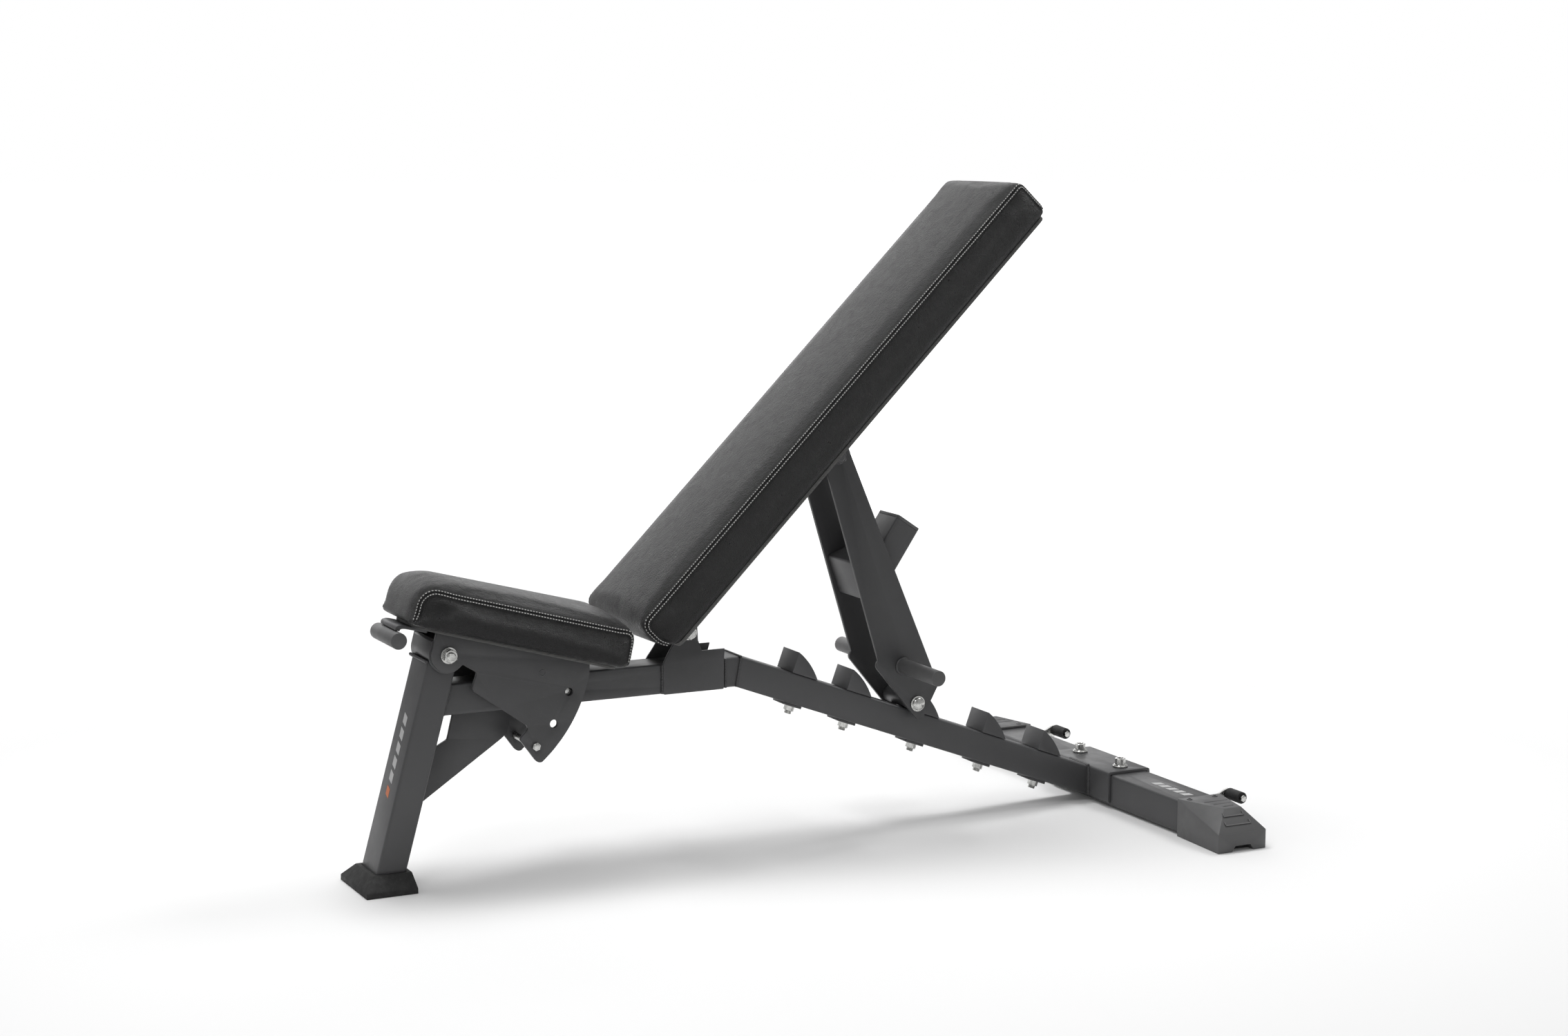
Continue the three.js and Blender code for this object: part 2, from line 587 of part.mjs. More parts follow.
const pivotHole = rod(STRUT.pivotAlong, STRUT.pivotAcross, 12 + GAP, -60, 60, 28);
const backTube = tubeX(BACK_TUBE.start, BACK_TUBE.end, BACK_TUBE.wide, BACK_TUBE.low, BACK_TUBE.high);
add(back, 'back_frame_tube', cut(backTube, pivotHole), POWDER_COAT);
add(back, 'strut_pivot_sleeve',
  sleeve(STRUT.pivotAlong, STRUT.pivotAcross, 12, -STRUT.inner + GAP, STRUT.inner - GAP), POWDER_COAT);

const MOUNTS = { lower: [60, 110], upper: [370, 420] };
for (const [place, [x0, x1]] of Object.entries(MOUNTS)) {
  const strip = box(x0, x1, -85, 85, BACK_TUBE.high + GAP, BACK.boardLow - GAP);
  add(back, `back_mount_${place}`, strip, POWDER_COAT);
}

function backPad() {
  const { low, high, start, end, half, edge, round } = BACK_PAD;
  const profile = outline([
    [start + edge + 18, low],
    [end - edge, low],
    [end - edge, high - edge, round],
    [start + edge, high - edge, round],
    [start + edge, low + 26, 8],
  ]);
  const rounded = new THREE.ExtrudeGeometry(profile, {
    depth: 2 * (half - edge),
    bevelThickness: edge,
    bevelSize: edge,
    bevelSegments: 3,
    curveSegments: 5,
  }).rotateX(Math.PI / 2).translate(0, half - edge, 0);
  return meet(rounded, box(start - 1, end + 1, -200, 200, low, high + 1));
}
add(back, 'back_pad', backPad(), VINYL);
const BOARD_INSET = 22;
add(back, 'back_board',
  upright(
    rectangle(BACK_PAD.start + BOARD_INSET, BACK_PAD.end - 8, -BACK_PAD.half + 8, BACK_PAD.half - 8, 12),
    BACK.boardLow, BACK.boardHigh, 0),
  PLYWOOD);

// ---------- strut ----------
// Strut axes: origin at the strut's pivot on the back, x down the strut, z towards the rear.
const pivotInBench = new THREE.Vector3(STRUT.pivotAlong, 0, STRUT.pivotAcross);
pivotInBench.applyAxisAngle(new THREE.Vector3(0, 1, 0), -rad(BACK.angle));
const strut = frameAt(BACK.pivotX + pivotInBench.x, BACK.pivotZ + pivotInBench.z, STRUT.angle);

function strutPlate(sign) {
  const shape = new THREE.Shape();
  shape.absarc(0, 0, 22, rad(80), rad(262), false);
  shape.lineTo(21, -25.4);
  shape.lineTo(334, -41);
  shape.quadraticCurveTo(337, -48, 345, -47.5);
  shape.lineTo(440, -13.5);
  shape.quadraticCurveTo(456, -8, 455, -3);
  shape.quadraticCurveTo(454, 3, 449, 8);
  shape.lineTo(434.5, 23.5);
  shape.lineTo(418, 42);
  shape.quadraticCurveTo(414, 45.5, 408, 44);
  shape.lineTo(382, 43);
  shape.closePath();
  shape.holes.push(hole(0, 0, M12.bore), hole(STRUT.bar, 0, M12.bore));
  return slab(shape, ...span(sign, STRUT.inner, STRUT.inner + PLATE), 14);
}
for (const [side, sign] of sides) add(strut, `strut_plate_${side}`, strutPlate(sign), POWDER_COAT);

const BRACE = { start: 169, end: 236, front: -29, back: 16 };
const braceHalf = STRUT.inner - GAP;
add(strut, 'strut_cross_tube',
  tubeY(-braceHalf, braceHalf, BRACE.start, BRACE.end, BRACE.front, BRACE.back), POWDER_COAT);

// Post that props the back when it lies flat: a tube leaning back from the cross tube, closed by a cap.
const postFrame = new THREE.Group();
postFrame.position.set(POST.start, 0, POST.rise);
postFrame.rotation.y = -rad(POST.lean);
strut.add(postFrame);
function postTube() {
  const tube = tubeX(-60, POST.length - POST.cap, POST.wide, -POST.deep / 2, POST.deep / 2);
  const keep = box(-200, 200, -60, 60, BRACE.back - POST.rise + GAP, 400).rotateY(rad(POST.lean));
  return meet(tube, keep);
}
add(postFrame, 'strut_post', postTube(), POWDER_COAT);
function postCap() {
  const lip = bar(rectangle(-POST.wide / 2, POST.wide / 2, -POST.deep / 2, POST.deep / 2, CORNER),
    POST.length - POST.cap + GAP, POST.length);
  const inset = WALL + GAP;
  const plug = bar(rectangle(
    -POST.wide / 2 + inset, POST.wide / 2 - inset, -POST.deep / 2 + inset, POST.deep / 2 - inset, 2),
  POST.length - POST.cap - 12, POST.length - 1);
  return join(lip, plug);
}
add(postFrame, 'strut_post_cap', postCap(), PLASTIC);

const GRIP = { along: 360.2, across: -3.4, radius: 12.3, out: 162 };
for (const [side, sign] of sides) {
  const reach = span(sign, STRUT.inner + PLATE + GAP, GRIP.out);
  add(strut, `strut_grip_${side}`, rod(GRIP.along, GRIP.across, GRIP.radius, ...reach, 32), PLASTIC);
}
const BAR_RADIUS = 13;
add(strut, 'strut_bar', sleeve(STRUT.bar, 0, BAR_RADIUS, -braceHalf, braceHalf), POWDER_COAT);
add(strut, 'strut_bolt', throughBolt(STRUT.bar, 0, STRUT.inner + PLATE, 8, 1), ZINC);
add(back, 'strut_pivot_bolt',
  throughBolt(STRUT.pivotAlong, STRUT.pivotAcross, STRUT.inner + PLATE, 8, 1, 10.5), ZINC);

// The origin lies on the floor, midway between the foot's front and the rollers' backs.
bench.position.x = -(BOOT.front + ROLLER.x + ROLLER.radius) / 2;
bench.updateMatrixWorld(true);
export default bench;
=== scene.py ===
"""Looks of an adjustable weight bench: grained vinyl cushions on a powder-coated steel frame."""
import json
import math

import bmesh
import bpy
from mathutils import Matrix, Vector
from mathutils.bvhtree import BVHTree


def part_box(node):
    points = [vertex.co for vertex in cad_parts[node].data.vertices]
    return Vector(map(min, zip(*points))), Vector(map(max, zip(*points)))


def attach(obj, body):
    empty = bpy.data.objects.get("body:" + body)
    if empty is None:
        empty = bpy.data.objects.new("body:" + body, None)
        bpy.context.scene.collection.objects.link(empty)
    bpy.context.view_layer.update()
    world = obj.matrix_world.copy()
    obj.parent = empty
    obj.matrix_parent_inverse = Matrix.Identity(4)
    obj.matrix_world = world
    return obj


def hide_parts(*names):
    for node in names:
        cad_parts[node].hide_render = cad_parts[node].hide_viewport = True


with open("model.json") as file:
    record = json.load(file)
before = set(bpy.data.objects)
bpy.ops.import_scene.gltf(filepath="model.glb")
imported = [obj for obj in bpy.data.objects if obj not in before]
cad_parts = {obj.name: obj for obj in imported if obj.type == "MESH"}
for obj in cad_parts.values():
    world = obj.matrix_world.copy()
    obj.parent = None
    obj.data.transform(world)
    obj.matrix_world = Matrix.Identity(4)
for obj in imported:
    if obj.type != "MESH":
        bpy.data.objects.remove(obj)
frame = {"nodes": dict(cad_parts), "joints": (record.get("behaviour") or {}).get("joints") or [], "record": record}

MM = 0.001
NEAR, FAR = -1, 1
SIDES = (("near", NEAR), ("far", FAR))
nodes = frame["nodes"]
joints = {j["name"]: j for j in frame["joints"]}
bodies = {n: b for b, members in frame["record"]["behaviour"]["bodies"].items() for n in members}
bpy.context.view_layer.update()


# ---------- places taken from the frame ----------
def tilted(origin, degrees):
    """Axes turned about +Y: a positive angle tips the local x axis downwards."""
    return Matrix.Translation(Vector(origin)) @ Matrix.Rotation(math.radians(degrees), 4, "Y")


SEAT_TILT, BACK_TILT = 15, -45
SEAT = tilted(joints["seat_hinge"]["pos_m"], SEAT_TILT)
BACK = tilted(joints["back_hinge"]["pos_m"], BACK_TILT)

LEG_TILT, SPINE_SLOPE = 15.4, 20.57
LEG_HALF_DEPTH, LEG_BOTTOM = 22.5, 9.0
lean = math.radians(LEG_TILT)
leg_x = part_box("leg_tube")[0][0] + (LEG_HALF_DEPTH * math.cos(lean) - LEG_BOTTOM * math.sin(lean)) * MM
LEG = tilted((leg_x, 0, 0), LEG_TILT)
spine_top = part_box("spine_front_tube")[1]
REAR = tilted((spine_top[0], 0, spine_top[2]), SPINE_SLOPE)


# ---------- node graphs ----------
class Graph:
    """A new material with a Principled shader, and short calls that add and join nodes."""

    def __init__(self, name):
        self.material = bpy.data.materials.new(name)
        self.material.use_nodes = True
        self.tree = self.material.node_tree
        self.shader = self.tree.nodes["Principled BSDF"]
        self.place = self.tree.nodes.new("ShaderNodeTexCoord").outputs["Object"]

    def add(self, kind, **values):
        node = self.tree.nodes.new("ShaderNode" + kind)
        for key, value in values.items():
            if hasattr(node, key):
                setattr(node, key, value)
            else:
                node.inputs[key.replace("_", " ")].default_value = value
        return node

    def link(self, source, target):
        self.tree.links.new(source, target)

    def noise(self, scale, detail=4.0, roughness=0.55, stretch=None):
        node = self.add("TexNoise", Scale=scale, Detail=detail, Roughness=roughness)
        self.link(self.stretched(stretch), node.inputs["Vector"])
        return node.outputs["Fac"]

    def stretched(self, stretch):
        if stretch is None:
            return self.place
        node = self.add("Mapping")
        node.inputs["Scale"].default_value = stretch
        self.link(self.place, node.inputs["Vector"])
        return node.outputs["Vector"]

    def cells(self, scale):
        """Distance to the nearest border between random cells."""
        node = self.add("TexVoronoi", feature="DISTANCE_TO_EDGE")
        node.inputs["Scale"].default_value = scale
        self.link(self.place, node.inputs["Vector"])
        return node.outputs["Distance"]

    def ramp(self, source, low, high, start=0.0, end=1.0):
        """Maps source from start..end to low..high; low and high are grey values or colours."""
        node = self.add("ValToRGB")
        points = node.color_ramp.elements
        points[0].position, points[1].position = start, end
        for point, value in zip(points, (low, high)):
            point.color = (value, value, value, 1) if isinstance(value, float) else (*value, 1)
        self.link(source, node.inputs["Fac"])
        return node.outputs["Color"]

    def maths(self, operation, a, b):
        node = self.add("Math", operation=operation)
        for socket, value in zip(node.inputs, (a, b)):
            if isinstance(value, (int, float)):
                socket.default_value = value
            else:
                self.link(value, socket)
        return node.outputs["Value"]

    def mix(self, factor, a, b):
        node = self.add("Mix", data_type="RGBA")
        self.link(factor, node.inputs["Factor"])
        for socket, value in ((node.inputs["A"], a), (node.inputs["B"], b)):
            if isinstance(value, tuple):
                socket.default_value = (*value, 1)
            else:
                self.link(value, socket)
        return node.outputs["Result"]

    def bump(self, height, distance, strength):
        node = self.add("Bump", Strength=strength, Distance=distance)
        self.link(height, node.inputs["Height"])
        return node.outputs["Normal"]

    def finish(self, colour=None, roughness=None, normal=None, **uniform):
        for socket, source in (("Base Color", colour), ("Roughness", roughness), ("Normal", normal)):
            if source is not None:
                self.link(source, self.shader.inputs[socket])
        for socket, value in uniform.items():
            self.shader.inputs[socket.replace("_", " ")].default_value = value
        return self.material


# pointiness range of the painted edge highlight
EDGE_POINTINESS = (0.502, 0.56)


def painted_edge_highlight(graph):
    """Painted highlight mask: white on convex edges, from the mesh's pointiness."""
    return graph.ramp(graph.add("NewGeometry").outputs["Pointiness"], 0.0, 1.0, *EDGE_POINTINESS)


# ---------- materials ----------
def powder_coat(name, dark, light, gloss=0.36):
    """Satin powder coat: fine orange peel, faint dust, and convex edges painted lighter as a painted highlight."""
    g = Graph(name)
    cloud = g.noise(7.0, 5.0, 0.6)
    base = g.mix(g.ramp(cloud, 0.0, 1.0, 0.35, 0.7), dark, light)
    speck = g.ramp(g.noise(900.0, 2.0), 0.0, 1.0, 0.68, 0.74)
    colour = g.mix(g.maths("MULTIPLY", speck, 0.25), base, (0.16, 0.16, 0.165))
    # convex edges mixed towards a lighter grey: a painted highlight where the edges catch the light
    wear_and_edge_highlight = g.mix(g.maths("MULTIPLY", painted_edge_highlight(g), 0.35), colour, (0.19, 0.19, 0.195))
    rough = g.ramp(g.noise(22.0, 6.0, 0.65), gloss, gloss + 0.14, 0.3, 0.75)
    peel = g.bump(g.noise(620.0, 3.0, 0.5), 0.00012, 0.55)
    return g.finish(wear_and_edge_highlight, rough, peel, Metallic=0.0, Specular_IOR_Level=0.46)


def vinyl():
    """Black vinyl with a pebbled leather grain, creases and a soft sheen."""
    g = Graph("grained_vinyl")
    tone = g.ramp(g.noise(5.0, 4.0, 0.6), (0.007, 0.007, 0.0073), (0.016, 0.016, 0.0164), 0.3, 0.72)
    pebble = g.cells(430.0)
    valley = g.ramp(pebble, 0.0, 1.0, 0.0, 0.22)
    colour = g.mix(valley, (0.004, 0.004, 0.004), tone)
    crease = g.ramp(g.noise(150.0, 6.0, 0.72, (1.0, 1.5, 1.0)), 0.0, 1.0, 0.36, 0.62)
    fine = g.noise(1500.0, 2.0, 0.5)
    height = g.maths("ADD", g.maths("MULTIPLY", valley, 0.55), g.maths("MULTIPLY", crease, 0.8))
    height = g.maths("ADD", height, g.maths("MULTIPLY", fine, 0.18))
    rough = g.ramp(g.noise(60.0, 5.0, 0.7), 0.26, 0.40, 0.3, 0.7)
    return g.finish(colour, rough, g.bump(height, 0.0020, 0.9), Specular_IOR_Level=0.5)


def thread():
    """Grey bonded sewing thread with a twisted lay, its grey lightened further as a painted highlight along the
    seams.
    """
    g = Graph("sewing_thread")
    wave = g.add("TexWave", Scale=900.0, Distortion=1.5, Detail=2.0)
    g.link(g.place, wave.inputs["Vector"])
    # the thread's own light grey, lightened further as a painted highlight for the seam's lit puckers
    colour = g.mix(wave.outputs["Fac"], (0.42, 0.42, 0.41), (0.70, 0.70, 0.68))
    return g.finish(colour, None, g.bump(wave.outputs["Fac"], 0.0002, 0.6), Roughness=0.6)


def zinc():
    """Bright zinc plate: fine machining lines, cloudy patches and darker low spots."""
    g = Graph("zinc_plate")
    cloud = g.noise(120.0, 5.0, 0.6)
    colour = g.mix(g.ramp(cloud, 0.0, 1.0, 0.3, 0.75), (0.42, 0.42, 0.41), (0.78, 0.78, 0.76))
    rough = g.ramp(g.noise(400.0, 4.0, 0.6), 0.16, 0.36, 0.3, 0.7)
    lines = g.bump(g.noise(2200.0, 2.0, 0.5, (1.0, 0.15, 1.0)), 0.00005, 0.5)
    return g.finish(colour, rough, lines, Metallic=1.0)


def plastic(name, dark, light, grain=1100.0):
    """Moulded plastic with a fine sparked texture and a painted highlight on its convex edges."""
    g = Graph(name)
    colour = g.mix(g.ramp(g.noise(9.0, 4.0), 0.0, 1.0, 0.3, 0.7), dark, light)
    # convex edges mixed towards a lighter grey: a painted highlight
    edge_highlighted = g.mix(g.maths("MULTIPLY", painted_edge_highlight(g), 0.4), colour, (0.2, 0.2, 0.2))
    rough = g.ramp(g.noise(40.0, 5.0, 0.6), 0.42, 0.6, 0.3, 0.7)
    return g.finish(edge_highlighted, rough, g.bump(g.noise(grain, 2.0), 0.00015, 0.6))


def rubber():
    """Matt black rubber, dusty in its pores."""
    g = Graph("matt_rubber")
    dust = g.ramp(g.noise(260.0, 5.0, 0.7), 0.0, 1.0, 0.55, 0.8)
    colour = g.mix(g.maths("MULTIPLY", dust, 0.5), (0.014, 0.014, 0.014), (0.06, 0.06, 0.058))
    rough = g.ramp(g.noise(80.0, 4.0), 0.62, 0.85, 0.3, 0.7)
    return g.finish(colour, rough, g.bump(g.noise(700.0, 4.0), 0.0002, 0.7))


def board():
    """Dark stained plywood whose edge shows its plies."""
    g = Graph("cushion_board")
    fibre = g.noise(90.0, 6.0, 0.6, (1.0, 1.0, 9.0))
    colour = g.mix(g.ramp(fibre, 0.0, 1.0, 0.3, 0.7), (0.05, 0.05, 0.05), (0.11, 0.11, 0.105))
    return g.finish(colour, None, g.bump(fibre, 0.0003, 0.5), Roughness=0.6)


def weld_metal():
    """Coated weld bead, a little rougher and darker than the plain coat."""
    g = Graph("coated_weld")
    colour = g.mix(g.noise(300.0, 4.0), (0.028, 0.028, 0.029), (0.075, 0.075, 0.077))
    return g.finish(colour, None, g.bump(g.noise(900.0, 3.0), 0.0003, 0.7), Roughness=0.42)


def marking(name, light):
    """Screen-printed ink with pinholes and a slightly uneven edge of tone."""
    g = Graph(name)
    wear_and_edge_highlight = g.ramp(g.noise(700.0, 4.0, 0.7), 0.0, 1.0, 0.62, 0.8)
    colour = g.mix(wear_and_edge_highlight, light, tuple(0.35 * c for c in light))
    return g.finish(colour, None, g.bump(wear_and_edge_highlight, 0.0001, 0.4), Roughness=0.5)


COAT = powder_coat("powder_coat", (0.015, 0.015, 0.016), (0.025, 0.025, 0.0262))
DARK_COAT = powder_coat("powder_coat_dark", (0.012, 0.012, 0.013), (0.020, 0.020, 0.021), 0.3)
VINYL = vinyl()
THREAD = thread()
ZINC = zinc()
CAP_PLASTIC = plastic("cap_plastic", (0.026, 0.026, 0.0275), (0.042, 0.042, 0.044))
GRIP_PLASTIC = plastic("grip_plastic", (0.035, 0.035, 0.036), (0.055, 0.055, 0.056), 500.0)
# a darker copy of the cap plastic: painted shade on the caps' sloping ends
CAP_PAINTED_SHADE = plastic("cap_plastic_painted_shade", (0.010, 0.010, 0.011), (0.018, 0.018, 0.019))
RUBBER = rubber()
BOARD = board()
WELD = weld_metal()
PALE_INK = marking("pale_ink", (0.46, 0.46, 0.46))
WARM_INK = marking("warm_ink", (0.55, 0.15, 0.05))


# ---------- mesh helpers ----------
# faces that meet at less than this many degrees are shaded smooth together
CRISP, BEVELLED, SOFT, ROUNDED, CLOTHLIKE = 30, 40, 60, 70, 180


def new_piece(name, mesh_source, body, material, smooth_angle):
    """An object from a bmesh, riding on a body, smooth except across sharp edges."""
    mesh = bpy.data.meshes.new(name)
    mesh_source.to_mesh(mesh)
    mesh_source.free()
    mesh.materials.append(material)
    piece = bpy.data.objects.new(name, mesh)
    bpy.context.scene.collection.objects.link(piece)
    mesh.shade_smooth()
    mesh.set_sharp_from_angle(angle=math.radians(smooth_angle))
    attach(piece, body)
    return piece


EDGE = {"merge": 1e-5, "flat": 1, "sharp": 32, "segments": 2}


def refined(node, body, material, width):
    """The CAD node's shape with its sharp edges broken by a small real bevel."""
    bm = bmesh.new()
    bm.from_mesh(nodes[node].data)
    bmesh.ops.remove_doubles(bm, verts=bm.verts, dist=EDGE["merge"])
    bmesh.ops.dissolve_limit(bm, angle_limit=math.radians(EDGE["flat"]), verts=bm.verts, edges=bm.edges)
    sharp = [e for e in bm.edges if e.is_manifold and e.calc_face_angle(0) > math.radians(EDGE["sharp"])]
    bmesh.ops.bevel(bm, geom=sharp, offset=width * MM, segments=EDGE["segments"],
                    profile=0.5, affect="EDGES", clamp_overlap=True)
    bmesh.ops.triangulate(bm, faces=[f for f in bm.faces if len(f.verts) > 4])
    piece = new_piece(node + "_finished", bm, body, material, BEVELLED)
    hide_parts(node)
    return piece


def swept(bm, points, ring, closed=False):
    """Adds a tube along (point, up) steps; ring(i) gives the section at step i, across and up."""
    rings = []
    count = len(points)
    for i, (point, up) in enumerate(points):
        ahead = points[(i + 1) % count][0] if closed or i + 1 < count else point
        behind = points[i - 1][0] if closed or i else point
        along = (ahead - behind).normalized()
        side = up.cross(along).normalized()
        rings.append([bm.verts.new(point + side * a + up * b) for a, b in ring(i)])
    for i in range(count if closed else count - 1):
        here, there = rings[i], rings[(i + 1) % count]
        for k in range(len(here)):
            bm.faces.new((here[k - 1], here[k], there[k], there[k - 1]))
    if not closed:
        bm.faces.new(rings[0][::-1])
        bm.faces.new(rings[-1])


def resampled(points, spacing):
    """Points along the polyline at even spacing."""
    lengths = [0.0]
    for a, b in zip(points, points[1:]):
        lengths.append(lengths[-1] + (b - a).length)
    steps = max(2, round(lengths[-1] / spacing))
    result, k = [], 0
    for i in range(steps + 1):
        target = lengths[-1] * i / steps
        while k < len(points) - 2 and lengths[k + 1] < target:
            k += 1
        span = max(lengths[k + 1] - lengths[k], 1e-9)
        result.append(points[k].lerp(points[k + 1], (target - lengths[k]) / span))
    return result


# ---------- cushions ----------
UNDER_RADIUS = 5.0
CROWN_RUN = 30
EDGE_STEPS, STRIP_STEPS = 6, 14


class Cushion:
    """Padded form, in mm in its own axes: a strip wrapped over the top and both ends, and two side panels."""

    def __init__(self, ends, low, high, half_at, corners, shoulder, noses, crown):
        self.start, self.end = ends
        self.low, self.high, self.crown = low, high, crown
        self.half_at, self.corners = half_at, corners
        self.shoulder, self.noses = shoulder, noses

    def outline(self, spacing=9.0, turns=9):
        """Side outline (u, w, outward u, outward w): up the start, over the top, down the end and back."""
        places = ((self.start, self.low, 1, 1, 270), (self.start, self.high, 1, -1, 180),
                  (self.end, self.high, -1, -1, 90), (self.end, self.low, -1, 1, 0))
        points = []
        for (u, w, inward_u, inward_w, first), radius in zip(places, self.corners):
            for i in range(turns + 1):
                angle = math.radians(first - 90 * i / turns)
                nu, nw = math.cos(angle), math.sin(angle)
                centre_u, centre_w = u + inward_u * radius, w + inward_w * radius
                points.append((centre_u + radius * nu, centre_w + radius * nw, nu, nw))
        filled = []
        for here, there in zip(points, points[1:] + points[:1]):
            steps = max(1, round(math.dist(here[:2], there[:2]) / spacing))
            for k in range(steps):
                filled.append(tuple(a + (b - a) * k / steps for a, b in zip(here, there)))
        return filled

    def edge(self, u, nu, nw):
        """Radius of the edge between strip and side panel: the shoulder on top, the nose at the ends."""
        nose = self.noses[0] if u < (self.start + self.end) / 2 else self.noses[1]
        under = UNDER_RADIUS if nw < 0 else self.shoulder
        return under * nw * nw + nose * nu * nu

    def crowned(self, u, nw, across):
        """Height added to the strip's upper side, most in the middle and none at the edges."""
        run = min(u - self.start, self.end - u) / CROWN_RUN
        fade = math.sqrt(min(max(run, 0.0), 1.0))
        return self.crown * max(nw, 0.0) * (1 - across * across) * fade

    def ring(self, outline, across, turn):
        """The outline moved to across (-1 to 1) on the strip, or turned (0 to 90 degrees) round an edge."""
        sign = math.copysign(1, across)
        sweep = math.radians(turn)
        ring = []
        for u, w, nu, nw in outline:
            radius = self.edge(u, nu, nw)
            half = self.half_at(u)
            y = across * (half - radius) + sign * radius * math.sin(sweep)
            inset = radius * (1 - math.cos(sweep))
            lift = self.crowned(u, nw, y / half)
            ring.append((u - nu * inset, y, w - nw * inset + lift))
        return ring


def cushion_mesh(form, matrix):
    """A closed mesh of outlines, from one side panel round the strip to the other."""
    outline = form.outline()
    turn = 90 / EDGE_STEPS
    stages = [(NEAR, 90 - turn * k) for k in range(EDGE_STEPS)]
    stages += [(2 * k / STRIP_STEPS - 1, 0) for k in range(STRIP_STEPS + 1)]
    stages += [(FAR, turn + turn * k) for k in range(EDGE_STEPS)]
    bm = bmesh.new()
    loops = []
    for across, turn in stages:
        ring = form.ring(outline, across, turn)
        loops.append([bm.verts.new(matrix @ (Vector(point) * MM)) for point in ring])
    for a, b in zip(loops, loops[1:]):
        for k in range(len(a)):
            bm.faces.new((a[k - 1], a[k], b[k], b[k - 1]))
    bm.faces.new(loops[0][::-1])
    bm.faces.new(loops[-1])
    bmesh.ops.recalc_face_normals(bm, faces=bm.faces)
    return bm


def apply(piece, modifier):
    with bpy.context.temp_override(object=piece, active_object=piece, selected_objects=[piece]):
        bpy.ops.object.modifier_apply(modifier=modifier.name)


VOXEL = 4.5
SMOOTHING = 8
CLOTH = {"frames": 20, "quality": 5, "mass": 0.4, "pressure": 4, "stretch": 15, "shear": 8, "bend": 2}
HELD_HEIGHT = 4


def pressed(piece, matrix, low, cap):
    """A short cloth simulation under inner pressure with the underside held, its moves capped in mm."""
    rest = [v.co.copy() for v in piece.data.vertices]
    inverse = matrix.inverted()
    held = piece.vertex_groups.new(name="held")
    underside = (low + HELD_HEIGHT) * MM
    held.add([i for i, co in enumerate(rest) if (inverse @ co).z < underside], 1.0, "REPLACE")
    cloth = piece.modifiers.new("cloth", "CLOTH")
    settings = cloth.settings
    settings.quality = CLOTH["quality"]
    settings.mass = CLOTH["mass"]
    settings.use_pressure = True
    settings.uniform_pressure_force = CLOTH["pressure"]
    settings.tension_stiffness = CLOTH["stretch"]
    settings.compression_stiffness = CLOTH["stretch"]
    settings.shear_stiffness = CLOTH["shear"]
    settings.bending_stiffness = CLOTH["bend"]
    settings.effector_weights.gravity = 0
    settings.vertex_group_mass = "held"
    for step in range(1, CLOTH["frames"] + 1):
        bpy.context.scene.frame_set(step)
    apply(piece, cloth)
    bpy.context.scene.frame_set(1)
    for vertex, start in zip(piece.data.vertices, rest):
        move = vertex.co - start
        if move.length > cap * MM:
            vertex.co = start + move.normalized() * cap * MM
    piece.vertex_groups.clear()


def inflate(piece, matrix, low, cap):
    """Voxel remesh, the cloth simulation, a smoothing pass and one subdivision."""
    remesh = piece.modifiers.new("remesh", "REMESH")
    remesh.mode = "VOXEL"
    remesh.voxel_size = VOXEL * MM
    apply(piece, remesh)
    pressed(piece, matrix, low, cap)
    smooth = piece.modifiers.new("smooth", "SMOOTH")
    smooth.iterations = SMOOTHING
    apply(piece, smooth)
    finer = piece.modifiers.new("finer", "SUBSURF")
    finer.levels = finer.render_levels = 1
    apply(piece, finer)
    piece.data.shade_smooth()


def cushion(name, node, body, form, matrix, cap):
    piece = new_piece(name, cushion_mesh(form, matrix), body, VINYL, CLOTHLIKE)
    piece.parent = None
    inflate(piece, matrix, form.low, cap)
    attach(piece, body)
    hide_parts(node)
    return piece


# ---------- seams ----------
STITCH = {"pitch": 4.4, "length": 3.4, "radius": 0.72, "lift": 1.05, "rows": (-2.9, 2.9)}
# along the stitch, its thickness and its height, as shares of its own length, radius and lift
SPINDLE = ((-0.5, 0.3, -0.2), (-0.3, 1.0, 1.0), (0.3, 1.0, 1.0), (0.5, 0.3, -0.2))
BAND = [(-5.4, -0.8), (-4.7, 0.3), (-3.2, 0.95), (-1.4, 0.85), (-0.4, -0.5),
        (0.4, -0.5), (1.4, 0.85), (3.2, 0.95), (4.7, 0.3), (5.4, -0.8), (0.0, -1.8)]
PUCKER = 0.28
STITCH_STEPS = 4
STEP = STITCH["pitch"] / STITCH_STEPS
SEAM_END = -0.72
SEAM_REACH = 0.09
NORMAL_SPAN = 6


def surface(piece):
    """A search tree over the cushion's surface, for laying seams on it."""
    bm = bmesh.new()
    bm.from_mesh(piece.data)
    tree = BVHTree.FromBMesh(bm)
    bm.free()
    return tree


def seam_points(form, matrix, tree, sign):
    """Where the strip meets a side panel: up one end, along the shoulder and down the other end."""
    points = []
    rotation = matrix.to_3x3()
    for u, w, nu, nw in form.outline(spacing=6.0, turns=12):
        if nw < SEAM_END:
            continue
        radius = form.edge(u, nu, nw)
        core = Vector((u - nu * radius, sign * (form.half_at(u) - radius), w - nw * radius)) * MM
        outward = Vector((nu, sign, nw)).normalized()
        start = core + outward * SEAM_REACH
        hit = tree.ray_cast(matrix @ start, rotation @ -outward)[0]
        if hit is not None:
            points.append(hit)
    return points


def laid(points, tree, spacing):
    """Evenly spaced points with smoothed surface normals."""
    even = resampled(points, spacing)
    found = [tree.find_nearest(point) for point in even]
    path = []
    for i, (hit, _, _, _) in enumerate(found):
        near = found[max(0, i - NORMAL_SPAN):i + NORMAL_SPAN + 1]
        path.append((hit, sum((n for _, n, _, _ in near), Vector()).normalized()))
    return path


